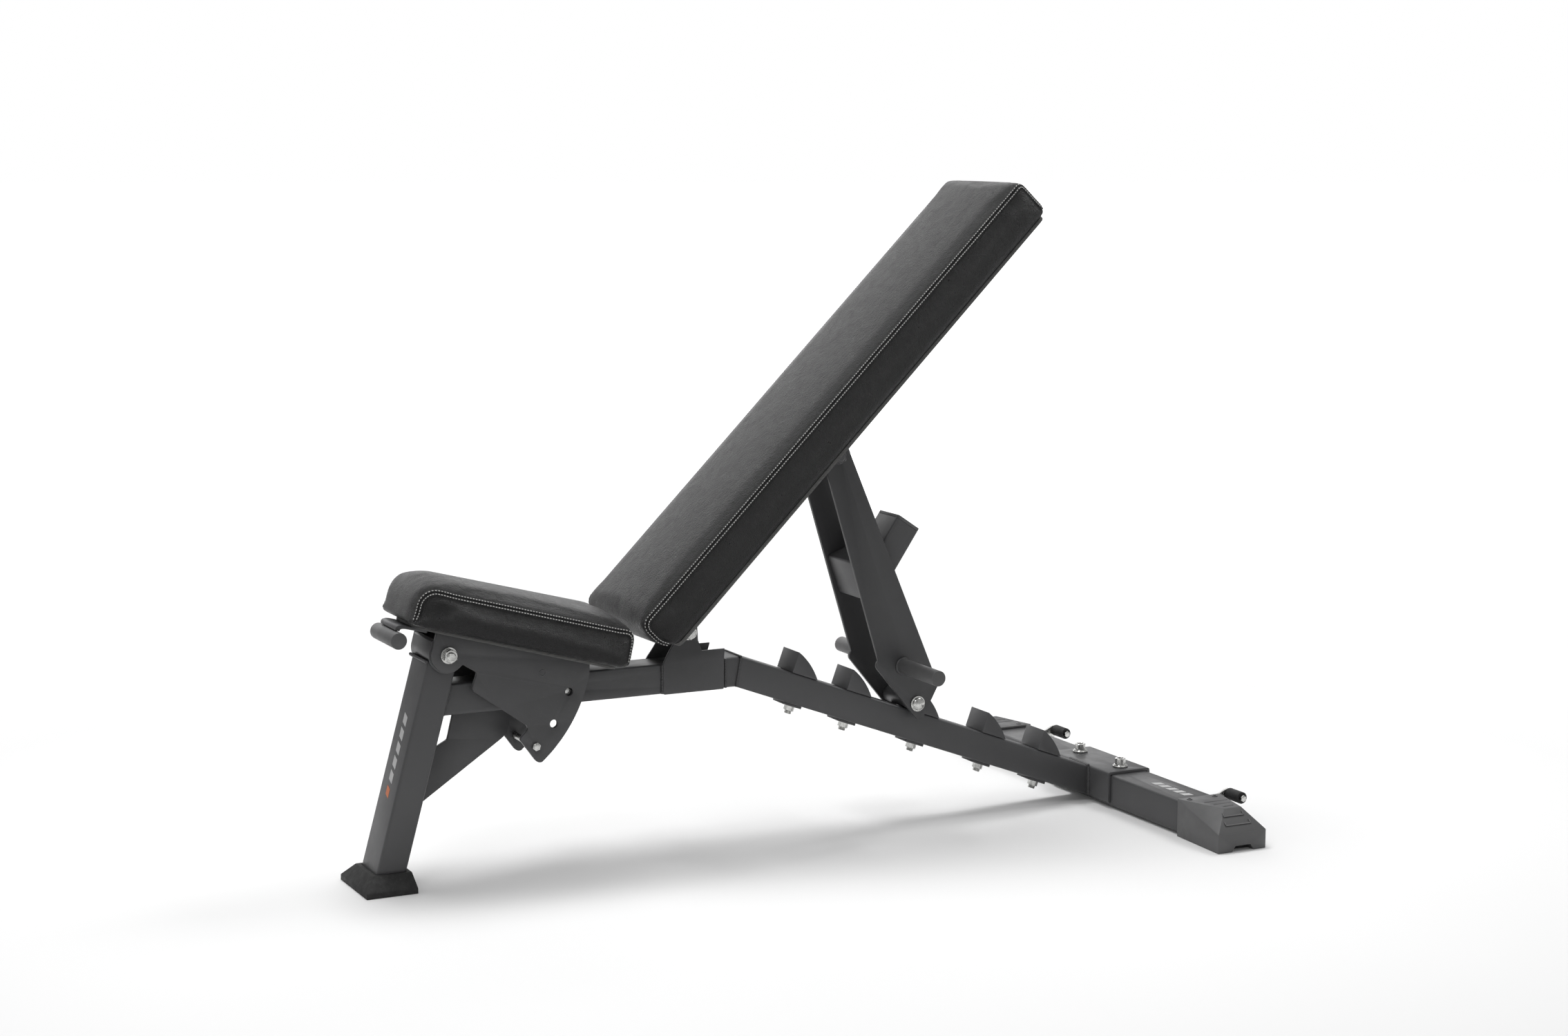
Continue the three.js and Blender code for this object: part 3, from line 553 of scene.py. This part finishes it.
def seam(name, piece, form, matrix, body, sign):
    """A puckered sewn band with a groove down its middle, and a row of stitches beside the groove."""
    tree = surface(piece)
    path = laid(seam_points(form, matrix, tree, sign), tree, STEP * MM)
    bm = bmesh.new()

    def ring(i):
        pucker = PUCKER if i % STITCH_STEPS < STITCH_STEPS / 2 else -PUCKER
        return [(a * MM, (b + pucker * (b > 0)) * MM) for a, b in BAND]

    swept(bm, path, ring)
    bmesh.ops.recalc_face_normals(bm, faces=bm.faces)
    new_piece(name + "_band", bm, body, VINYL, SOFT)
    bm = bmesh.new()
    for row in STITCH["rows"]:
        stitch_row(bm, path, row)
    new_piece(name + "_stitches", bm, body, THREAD, SOFT)


def stitch_row(bm, path, offset):
    """Short spindle-shaped stitches, each dipping into the vinyl at both ends."""
    for i in range(2, len(path) - STITCH_STEPS, STITCH_STEPS):
        point, up = path[i]
        along = (path[i + 2][0] - path[i - 2][0]).normalized()
        side = up.cross(along).normalized()
        middle = point + side * offset * MM
        rings = []
        for t, radius, lift in SPINDLE:
            at = middle + (along * t * STITCH["length"] + up * STITCH["lift"] * lift) * MM
            size = radius * STITCH["radius"] * MM
            turns = [math.radians(60 * q) for q in range(6)]
            rings.append([bm.verts.new(at + (side * math.cos(a) + up * math.sin(a)) * size) for a in turns])
        for a, b in zip(rings, rings[1:]):
            for q in range(6):
                bm.faces.new((a[q - 1], a[q], b[q], b[q - 1]))
        bm.faces.new(rings[0][::-1])
        bm.faces.new(rings[-1])


BACK_ENDS = (-61.0, 863.0)
BACK_HALF = 116.0
SEAT_ENDS = (-80.0, 259.0)
SEAT_HALVES = (78.0, 118.0)


def back_half(u):
    return BACK_HALF


def seat_half(u):
    """Half width of the seat, which tapers towards the front."""
    part = (u - SEAT_ENDS[0]) / (SEAT_ENDS[1] - SEAT_ENDS[0])
    return SEAT_HALVES[0] + (SEAT_HALVES[1] - SEAT_HALVES[0]) * part


# the corners run low start, high start, high end, low end; the noses are the strip's edges at both ends
BACK_FORM = Cushion(BACK_ENDS, low=37.0, high=106.0, half_at=back_half, corners=(34, 20, 14, 14),
                    shoulder=13.0, noses=(17.0, 20.0), crown=7.0)
SEAT_FORM = Cushion(SEAT_ENDS, low=35.0, high=95.0, half_at=seat_half, corners=(10, 30, 16, 12),
                    shoulder=18.0, noses=(32.0, 18.0), crown=13.0)
BACK_SWELL, SEAT_SWELL = 2.5, 3


# ---------- frame pieces ----------
THROUGH_BOLTS = {"seat_pivot_bolt": ZINC, "back_hinge_bolt": ZINC, "strut_bolt": ZINC,
                 "strut_pivot_bolt": DARK_COAT}
NUT_PLATE = 4.4


def dress_frame():
    """Every CAD node keeps its shape; sharp edges get small bevels and each gets its finish."""
    slots = {s["node"]: s["material_slot"] for s in frame["record"]["subparts"]}
    finishes = {"frame_coat": (COAT, 0.7), "zinc": (ZINC, 0.5), "plastic": (CAP_PLASTIC, 0.6),
                "rubber": (RUBBER, 0.8), "board": (BOARD, 0.6)}
    special = {"leg_top_bracket": DARK_COAT, "strut_bar": DARK_COAT, "seat_handle_grip": GRIP_PLASTIC,
               "strut_grip_near": GRIP_PLASTIC, "strut_grip_far": GRIP_PLASTIC}
    for node in nodes:
        if slots[node] == "vinyl" or node in THROUGH_BOLTS or node.startswith("cover_bolt"):
            continue
        material, width = finishes[slots[node]]
        piece = refined(node, bodies[node], special.get(node, material), width)
        if node.startswith("tooth_nut"):
            top = max((REAR.inverted() @ v.co).z for v in nodes[node].data.vertices)
            second_finish(piece, COAT, lambda f: (REAR.inverted() @ f.center).z > top - NUT_PLATE * MM)
        # the caps' sloping end faces, picked by their normals, get the darker plastic as painted shade
        if node.startswith("rear_cap"):
            second_finish(piece, CAP_PAINTED_SHADE, lambda f: abs(f.normal.y) > 0.5 and f.normal.z > 0.3)


def second_finish(piece, material, chosen):
    """Gives the chosen faces of a piece a second material."""
    piece.data.materials.append(material)
    for face in piece.data.polygons:
        if chosen(face):
            face.material_index = 1


# ---------- fasteners ----------
M12 = {"washer": 12.5, "washer_thick": 2.2, "across": 19.0, "corner": 10.9, "face": 9.2, "chamfer": 0.9,
       "shank": 6.0, "root": 5.25, "pitch": 1.75, "head": 7.5, "nut": 9.0}
WASHER_SOFT = {"radius": 0.5, "height": 0.4}


def facing(x, z, sign):
    """Axes at (x, 0, z) whose local z points out to the near side (-1) or the far side (1)."""
    return Matrix.Translation((x, 0, z)) @ Matrix.Rotation(math.radians(-90 * sign), 4, "X")


def to_hexagon(turn, across):
    """Distance from the axis to a hexagon's side, in direction turn."""
    sixth = math.pi / 3
    return across / 2 / math.cos((turn + sixth / 2) % sixth - sixth / 2)


def turned(bm, place, profile, across=None, steps=36):
    """Adds a body turned about z from (along, radius) in mm, cut to a hexagon if across is given."""
    rings = []
    for along, radius in profile:
        ring = []
        for i in range(steps):
            turn = 2 * math.pi * i / steps
            reach = radius if across is None else min(radius, to_hexagon(turn, across))
            point = Vector((reach * math.cos(turn), reach * math.sin(turn), along)) * MM
            ring.append(bm.verts.new(place @ point))
        rings.append(ring)
    for a, b in zip(rings, rings[1:]):
        for k in range(steps):
            bm.faces.new((a[k - 1], a[k], b[k], b[k - 1]))
    bm.faces.new(rings[0][::-1])
    bm.faces.new(rings[-1])


def washer(bm, place, at):
    """A flat washer with both rims softened."""
    rim, thick = M12["washer"], M12["washer_thick"]
    inner, step = rim - WASHER_SOFT["radius"], WASHER_SOFT["height"]
    turned(bm, place, [(at, inner), (at + step, rim), (at + thick - step, rim), (at + thick, inner)])


def hexagon(bm, place, at, thick):
    """A nut or bolt head with both faces chamfered."""
    face, corner, chamfer = M12["face"], M12["corner"], M12["chamfer"]
    profile = [(at, face), (at + chamfer, corner), (at + thick - chamfer, corner), (at + thick, face)]
    turned(bm, place, profile, M12["across"])


def threaded(bm, place, start, end):
    """A bolt's threaded tip, its turns as closed grooves, with a chamfered end."""
    profile = [(start, M12["shank"])]
    turns = max(1, round((end - start - 1) / M12["pitch"]))
    for i in range(turns):
        at = start + i * M12["pitch"]
        profile += [(at + 0.5 * M12["pitch"], M12["root"]), (at + M12["pitch"], M12["shank"])]
    turned(bm, place, profile + [(profile[-1][0] + 0.8, M12["root"] - 0.4)])


DOME = {"rim": 10.6, "tall": 6.4, "radius": 10.2, "tip": 0.4, "first": 15, "sweep": 72, "steps": 6}


def domed(bm, place, at):
    """A low round head."""
    profile = [(at, DOME["rim"])]
    for i in range(DOME["steps"]):
        turn = math.radians(DOME["first"] + DOME["sweep"] * i / (DOME["steps"] - 1))
        profile.append((at + DOME["tall"] * math.sin(turn), DOME["tip"] + DOME["radius"] * math.cos(turn)))
    turned(bm, place, profile)


def through_bolt(node, body, material, domed_near):
    """A bolt with two washers, a head on the far side, and a nut or a domed head on the near side."""
    low, high = Vector(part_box(node)[0]) / MM, Vector(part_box(node)[1]) / MM
    x, z = (low.x + high.x) / 2 * MM, (low.z + high.z) / 2 * MM
    seat = high.y - M12["head"]
    near, far = facing(x, z, NEAR), facing(x, z, FAR)
    bm = bmesh.new()
    turned(bm, near, [(-seat, M12["shank"]), (seat, M12["shank"])])
    for place in (near, far):
        washer(bm, place, seat - M12["washer_thick"])
    hexagon(bm, far, seat, M12["head"])
    if domed_near:
        domed(bm, near, seat)
    else:
        reach = -low.y
        nut = min(M12["nut"], reach - seat - 1)
        hexagon(bm, near, seat, nut)
        threaded(bm, near, seat + nut, reach)
    bmesh.ops.recalc_face_normals(bm, faces=bm.faces)
    piece = new_piece(node + "_detailed", bm, body, material, CRISP)
    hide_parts(node)


SOCKET = {"radius": 8.8, "key": 5.0, "key_deep": 6.0, "flange": 11.4, "flange_thick": 2.0, "chamfer": 0.8,
          "key_chamfer": 0.6}


def cover_bolt(side):
    """A tall socket head screw on a raised flange."""
    node = "cover_bolt_" + side
    low, high = Vector(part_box(node)[0]), Vector(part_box(node)[1])
    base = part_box("cover_washer_" + side)[1][2]
    tall = (high.z - base) / MM
    place = Matrix.Translation(((low.x + high.x) / 2, (low.y + high.y) / 2, base))
    radius, chamfer, flange = SOCKET["radius"], SOCKET["chamfer"], SOCKET["flange"]
    key, lip = SOCKET["key"], SOCKET["key_chamfer"]
    bm = bmesh.new()
    turned(bm, place, [(0.1, flange), (SOCKET["flange_thick"] - 0.4, flange - chamfer),
                       (SOCKET["flange_thick"], radius), (tall - chamfer, radius), (tall, radius - chamfer),
                       (tall, key + lip), (tall - lip, key), (tall - SOCKET["key_deep"], key)])
    turned(bm, place, [(-(base - low.z) / MM, M12["shank"]), (0.05, M12["shank"])])
    bmesh.ops.recalc_face_normals(bm, faces=bm.faces)
    piece = new_piece(node + "_detailed", bm, "frame", ZINC, CRISP)
    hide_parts(node)


def local_low(node, place):
    """Lowest corner of a CAD node, in mm along the place's own axes."""
    inverse = place.inverted()
    points = [inverse @ v.co / MM for v in nodes[node].data.vertices]
    return Vector([min(p[k] for p in points) for k in range(3)])


STUD = {"along": 22.6, "start": -1.0, "end": 6.0}


def tooth_studs():
    """The threaded end of each tooth's bolt, proud of its nut under the spine."""
    downwards = Matrix.Rotation(math.pi, 4, "X")
    for i in range(1, 6):
        low = local_low(f"tooth_nut_{i}", REAR)
        bm = bmesh.new()
        place = REAR @ Matrix.Translation(Vector((low.x + STUD["along"], 0, low.z)) * MM) @ downwards
        threaded(bm, place, STUD["start"], STUD["end"])
        new_piece(f"tooth_stud_{i}", bm, "frame", ZINC, CRISP)


# ---------- welds ----------
LIGHT, MEDIUM, PLAIN, HEAVY = 1.7, 2.0, 2.3, 2.8
WELD_GAP = 0.4
# height above the plate and distance out from the grip
ROOT_PROFILE = ((0, 0), (0.5, 2.0), (1.8, 2.3), (3.4, 0))
GUSSET = {"side": 3.8, "inset": 2, "leg_run": 80, "spine_run": 84}
WEB = {"front": -25.2, "up": 343.0, "half": 36, "radius": 2.4}


BEAD = {"spacing": 1.0, "sides": 8, "flat": 1.2, "least": 0.8, "ripple": 0.3, "ripple_rate": 0.7}
BEAD_PHASE = (0.37, 0.11)


def bead(bm, start, end, up, radius=PLAIN):
    """Adds a scalloped weld bead between two points in mm, raised towards up."""
    points = resampled([Vector(start) * MM, Vector(end) * MM], BEAD["spacing"] * MM)
    phase = start[0] * BEAD_PHASE[0] + start[2] * BEAD_PHASE[1]
    turns = [2 * math.pi * k / BEAD["sides"] for k in range(BEAD["sides"])]

    def ring(i):
        ripple = abs(math.sin(BEAD["ripple_rate"] * i + phase))
        size = radius * (BEAD["least"] + BEAD["ripple"] * ripple) * MM
        return [(BEAD["flat"] * size * math.cos(a), size * math.sin(a)) for a in turns]

    swept(bm, [(p, Vector(up).normalized()) for p in points], ring)


def root_weld(bm, place, at, radius):
    """A ring of weld round a grip's root."""
    turned(bm, place, [(at + up, radius + out) for up, out in ROOT_PROFILE])


def spine_welds(bm, sign, spine, slope):
    """On one side of the spine: the cover's edge, the leg joint, the bend and the saddle's ends."""
    low, high, cover_face, cover_low, cover_high = spine
    bottom, top = low.z, high.z
    side = sign * (high.y + WELD_GAP)
    mitre = high.x - (top - bottom) * math.tan(math.radians(SPINE_SLOPE / 2))
    bead(bm, (cover_face, side, cover_low + 2), (cover_face, side, cover_high - 1), (-1, sign, 0), HEAVY)
    leg_top = low.x + (top - bottom) * slope
    bead(bm, (low.x, side, bottom + 1), (leg_top, side, top - 1), (1, sign, 0))
    bead(bm, (mitre, side, bottom + 0.5), (high.x, side, top - 0.5), (0, sign, 0), LIGHT)
    saddle_side = side + 2 * WELD_GAP * sign
    for end, away in zip(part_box("saddle_near"), (-1, 1)):
        x = end[0] / MM + 0.6 * away
        bead(bm, (x, saddle_side, bottom + 1), (x, saddle_side, top), (away, sign, 0), MEDIUM)


def gusset_welds(bm, sign, spine_low, slope):
    """Along one side of the gusset, where it meets the leg and the spine."""
    side = sign * GUSSET["side"]
    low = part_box("leg_gusset")[0][2] / MM + GUSSET["inset"]
    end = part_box("leg_gusset")[1][0] / MM - GUSSET["inset"]
    foot = spine_low.x - slope * (spine_low.z - low)
    run = GUSSET["leg_run"]
    bead(bm, (foot, side, low), (foot + run * slope, side, low + run), (1, sign, 0))
    under = spine_low.z - 2 * WELD_GAP
    bead(bm, (end - GUSSET["spine_run"], side, under), (end, side, under), (0, sign, -1))


def frame_welds():
    bm = bmesh.new()
    low, high = (Vector(c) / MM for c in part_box("spine_front_tube"))
    slope = math.tan(lean)
    cover_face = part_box("cover_bracket")[0][0] / MM - WELD_GAP
    cover_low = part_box("spine_rear_tube")[0][2] / MM
    cover_high = cover_low + (high.z - low.z) / math.cos(math.radians(SPINE_SLOPE))
    for sign in (NEAR, FAR):
        spine_welds(bm, sign, (low, high, cover_face, cover_low, cover_high), slope)
        gusset_welds(bm, sign, low, slope)
    half = high.y
    bead(bm, (cover_face, -half, cover_high), (cover_face, half, cover_high), (-1, 0, 1), HEAVY)
    bend_top = high.z + 0.1
    bead(bm, (high.x, -half, bend_top), (high.x, half, bend_top), (0, 0, 1), LIGHT)
    web = LEG @ (Vector((WEB["front"], 0, WEB["up"])) * MM) / MM
    bead(bm, (web.x, -WEB["half"], web.z), (web.x, WEB["half"], web.z), (-1, 0, -0.6), WEB["radius"])
    bmesh.ops.recalc_face_normals(bm, faces=bm.faces)
    new_piece("frame_welds", bm, "frame", WELD, ROUNDED)


def strut_welds():
    bm = bmesh.new()
    for side, sign in SIDES:
        low, high = (Vector(c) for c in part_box("strut_grip_" + side))
        middle = (low + high) / 2
        plate = abs(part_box("strut_plate_near")[0][1]) / MM
        root_weld(bm, facing(middle.x, middle.z, sign), plate, (high.x - low.x) / 2 / MM)
    bmesh.ops.recalc_face_normals(bm, faces=bm.faces)
    new_piece("strut_welds", bm, "strut", WELD, ROUNDED)


# ---------- trim ----------
BARS = {"count": 5, "share": 0.68, "slant": 0.12, "thick": 0.25, "sunk": 0.02}
LEG_MARKS = {"up": 207, "run": 108, "width": 15}
LEG_TAG = {"up": 141, "run": 20, "width": 13}
TUBE_MARKS = {"y": -212, "run": 100, "width": 15}
CAP_RIDGE, CAP_DROP = 85.0, 30.5
CAP_SCREW = {"apart": 24, "inset": 12, "profile": [(-1, 4.6), (0.6, 4.6), (1.3, 3.9), (1.3, 2.6), (0.2, 2.3)]}
CAP_BARS = {"at": (0.32, 0.68), "width": 30, "wider": 26, "thin": 2.0, "foot": 6.8, "proud": 1.3}
IMPRINT = {"out": 151.3, "radius": 4.6, "wide": 0.6, "proud": 0.5, "steps": 32, "section_steps": 8}


def flat_bar(bm, place, length, width, slant=0.0, thick=BARS["thick"]):
    """Adds a thin bar centred on the place: its length along x, its width along y, proud along z."""
    corners = [(-length / 2 - slant, -width / 2), (length / 2 - slant, -width / 2),
               (length / 2 + slant, width / 2), (-length / 2 + slant, width / 2)]
    levels = (BARS["sunk"], thick)
    rings = [[bm.verts.new(place @ (Vector((a, b, h)) * MM)) for a, b in corners] for h in levels]
    for k in range(4):
        bm.faces.new((rings[0][k - 1], rings[0][k], rings[1][k], rings[1][k - 1]))
    bm.faces.new(rings[0][::-1])
    bm.faces.new(rings[1])


def run_of_bars(name, place, run, width, count, material):
    """Plain slanted bars in a row along the place's x axis."""
    bm = bmesh.new()
    pitch = run / count
    for i in range(count):
        middle = Matrix.Translation(Vector(((i + 0.5) * pitch - run / 2, 0, 0)) * MM)
        flat_bar(bm, place @ middle, BARS["share"] * pitch, width, BARS["slant"] * pitch)
    new_piece(name, bm, "frame", material, CRISP)


def axes(origin, along, across):
    """Axes at origin with x along and y across, z outwards."""
    outward = Vector(along).cross(Vector(across))
    rotation = Matrix((along, across, outward)).transposed().to_4x4()
    return Matrix.Translation(origin) @ rotation


def on_leg_front(up):
    """Axes on the middle of the leg's front face, x up the leg."""
    return LEG @ axes(Vector((-LEG_HALF_DEPTH, 0, up)) * MM, (0, 0, 1), (0, 1, 0))


def markings():
    """Plain bars on the leg's front face and on the cross tube, with one coloured bar."""
    leg, tag, tube = LEG_MARKS, LEG_TAG, TUBE_MARKS
    run_of_bars("leg_marks", on_leg_front(leg["up"]), leg["run"], leg["width"], BARS["count"], PALE_INK)
    run_of_bars("leg_tag", on_leg_front(tag["up"]), tag["run"], tag["width"], 1, WARM_INK)
    low, high = (Vector(c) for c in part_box("cross_tube"))
    tube_top = axes(((low.x + high.x) / 2, tube["y"] * MM, high.z), (0, 1, 0), (-1, 0, 0))
    run_of_bars("tube_marks", tube_top, tube["run"], tube["width"], BARS["count"], PALE_INK)


def cap_screws(side, sign, middle, top, inner):
    """Two socket screws in the flat top of an end cap."""
    bm = bmesh.new()
    for x in (middle - CAP_SCREW["apart"], middle + CAP_SCREW["apart"]):
        place = Matrix.Translation(Vector((x, sign * (inner + CAP_SCREW["inset"]), top)) * MM)
        turned(bm, place, CAP_SCREW["profile"])
    bmesh.ops.recalc_face_normals(bm, faces=bm.faces)
    new_piece(f"cap_screws_{side}", bm, "frame", DARK_COAT, CRISP)


def cap_bars(side, sign, middle, top, inner, outer):
    """Two raised bars with a short foot at each end, on the slope of an end cap."""
    bm = bmesh.new()
    ridge = Vector((middle, sign * (inner + CAP_RIDGE), top))
    edge = Vector((middle, sign * outer, top - CAP_DROP))
    fall = (edge - ridge).normalized()
    thin, foot_run, proud = CAP_BARS["thin"], CAP_BARS["foot"], CAP_BARS["proud"]
    for part in CAP_BARS["at"]:
        width = CAP_BARS["width"] + CAP_BARS["wider"] * part
        place = axes(ridge.lerp(edge, part) * MM, (sign, 0, 0), fall)
        flat_bar(bm, place, width, thin, 0, proud)
        for end in (-1, 1):
            foot = place @ Matrix.Translation(Vector((end * (width - thin) / 2, -foot_run / 2, 0)) * MM)
            flat_bar(bm, foot, thin, foot_run, 0, proud)
    bmesh.ops.recalc_face_normals(bm, faces=bm.faces)
    new_piece(f"cap_bars_{side}", bm, "frame", CAP_PLASTIC, CRISP)


def cap_trim():
    """Screws and raised bars on both moulded end caps."""
    for side, sign in SIDES:
        low, high = (Vector(c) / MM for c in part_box("rear_cap_" + side))
        middle = (low.x + high.x) / 2
        inner = min(abs(low.y), abs(high.y))
        outer = max(abs(low.y), abs(high.y))
        cap_screws(side, sign, middle, high.z, inner)
        cap_bars(side, sign, middle, high.z, inner, outer)


def plate_imprint():
    """A small pressed ring on the outside of each seat plate."""
    turns = [2 * math.pi * i / IMPRINT["steps"] for i in range(IMPRINT["steps"])]
    section_turns = turns[::IMPRINT["steps"] // IMPRINT["section_steps"]]
    wide, proud = IMPRINT["wide"], IMPRINT["proud"]
    section = [(wide * math.cos(a) * MM, proud * math.sin(a) * MM) for a in section_turns]
    at = SEAT @ Vector((IMPRINT["out"] * MM, 0, 0))
    for side, sign in SIDES:
        low, high = (Vector(c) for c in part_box("seat_plate_" + side))
        outside = max(abs(low.y), abs(high.y))
        centre = Vector((at.x, sign * outside, at.z))
        points = []
        for turn in turns:
            spoke = Vector((math.cos(turn), 0, math.sin(turn))) * IMPRINT["radius"] * MM
            points.append((centre + spoke, Vector((0, sign, 0))))
        bm = bmesh.new()
        swept(bm, points, lambda i: section, True)
        bmesh.ops.recalc_face_normals(bm, faces=bm.faces)
        new_piece("plate_imprint_" + side, bm, "seat", COAT, SOFT)


def details():
    """Everything small that CAD leaves plain: fasteners, welds, marks and trim."""
    for node, material in THROUGH_BOLTS.items():
        through_bolt(node, bodies[node], material, node == "strut_bolt")
    for side, _ in SIDES:
        cover_bolt(side)
    tooth_studs()
    frame_welds()
    strut_welds()
    markings()
    cap_trim()
    plate_imprint()


# ---------- stage ----------
CAMERA = {"place": (-1.895, -3.8087, 1.1187), "azimuth": -26.56, "down": 8.18, "lens": 63.44,
          "sensor": 36, "reach": 50}


def camera():
    data = bpy.data.cameras.new("camera")
    data.lens = CAMERA["lens"]
    data.sensor_width = CAMERA["sensor"]
    data.clip_end = CAMERA["reach"]
    item = bpy.data.objects.new("camera", data)
    bpy.context.scene.collection.objects.link(item)
    item.location = CAMERA["place"]
    item.rotation_euler = (math.radians(90 - CAMERA["down"]), 0, math.radians(CAMERA["azimuth"]))
    bpy.context.scene.camera = item


# name: place, target, size and power
LIGHTS = {
    "top_light": ((-0.3, 0.6, 3.4), (0, 0, 0.2), (1.5, 1.2), 74),
    "far_wall": ((1.6, 5.6, 2.7), (1.4, 0, 0.8), (6.6, 4.6), 96),
    "right_light": ((1.9, 0.2, 2.9), (-0.3, 0, 0.4), (1.2, 1.2), 30),
    "left_light": ((-1.7, -1.4, 3.0), (0.1, 0, 0.6), (1.0, 1.0), 18),
}


def area_light(name, place, target, size, power):
    """A rectangular white light at a place, turned to its target."""
    data = bpy.data.lights.new(name, "AREA")
    data.shape = "RECTANGLE"
    data.size, data.size_y = size
    data.energy = power
    item = bpy.data.objects.new(name, data)
    item.location = place
    item.rotation_euler = (Vector(target) - Vector(place)).to_track_quat("-Z", "Y").to_euler()
    bpy.context.scene.collection.objects.link(item)


def seen_directly(tree):
    """1 where the camera looks at a surface itself, 0 for the light that it gives the bench."""
    return tree.nodes.new("ShaderNodeLightPath").outputs["Is Camera Ray"]


FLOOR = {"half": 600, "near_glow": 0.02, "far_glow": 1.0, "near": 1.5, "far": 6.5}
AMBIENT, BACKDROP = 0.42, 1.0


def floor():
    """A pale sweep: soft shadows near the bench, blending into the white backdrop far away."""
    bm = bmesh.new()
    bmesh.ops.create_grid(bm, x_segments=2, y_segments=2, size=FLOOR["half"])
    mesh = bpy.data.meshes.new("floor")
    bm.to_mesh(mesh)
    bm.free()
    item = bpy.data.objects.new("floor", mesh)
    bpy.context.scene.collection.objects.link(item)
    g = Graph("pale_floor")
    tone = g.ramp(g.noise(0.6, 2.0), 0.79, 0.81, 0.3, 0.7)
    away = g.add("VectorMath", operation="LENGTH")
    g.link(g.place, away.inputs[0])
    glow = g.add("MapRange")
    g.link(away.outputs["Value"], glow.inputs["Value"])
    for socket, value in (("From Min", FLOOR["near"]), ("From Max", FLOOR["far"]),
                          ("To Min", FLOOR["near_glow"]), ("To Max", FLOOR["far_glow"])):
        glow.inputs[socket].default_value = value
    seen = g.maths("MULTIPLY", seen_directly(g.tree), glow.outputs["Result"])
    g.link(seen, g.shader.inputs["Emission Strength"])
    g.shader.inputs["Emission Color"].default_value = (1, 1, 1, 1)
    mesh.materials.append(g.finish(tone, None, None, Roughness=0.9, Specular_IOR_Level=0.1))


def surround():
    """White where it is seen, and a dimmer even light on the bench."""
    world = bpy.data.worlds.new("surround")
    bpy.context.scene.world = world
    world.use_nodes = True
    background = world.node_tree.nodes["Background"]
    background.inputs["Color"].default_value = (1, 1, 1, 1)
    strength = world.node_tree.nodes.new("ShaderNodeMapRange")
    strength.inputs["To Min"].default_value = AMBIENT
    strength.inputs["To Max"].default_value = BACKDROP
    world.node_tree.links.new(seen_directly(world.node_tree), strength.inputs["Value"])
    world.node_tree.links.new(strength.outputs["Result"], background.inputs["Strength"])


def studio():
    """A pale floor under a white surround, with large soft lights above, behind and beside the bench."""
    floor()
    surround()
    bpy.context.scene.view_settings.view_transform = "Standard"
    for name, values in LIGHTS.items():
        area_light(name, *values)


# ---------- the scene ----------
camera()
studio()
dress_frame()
details()
back_pad = cushion("back_cushion", "back_pad", "back", BACK_FORM, BACK, BACK_SWELL)
seat_pad = cushion("seat_cushion", "seat_pad", "seat", SEAT_FORM, SEAT, SEAT_SWELL)
for side, sign in SIDES:
    seam("back_seam_" + side, back_pad, BACK_FORM, BACK, "back", sign)
    seam("seat_seam_" + side, seat_pad, SEAT_FORM, SEAT, "seat", sign)

bpy.context.view_layer.update()
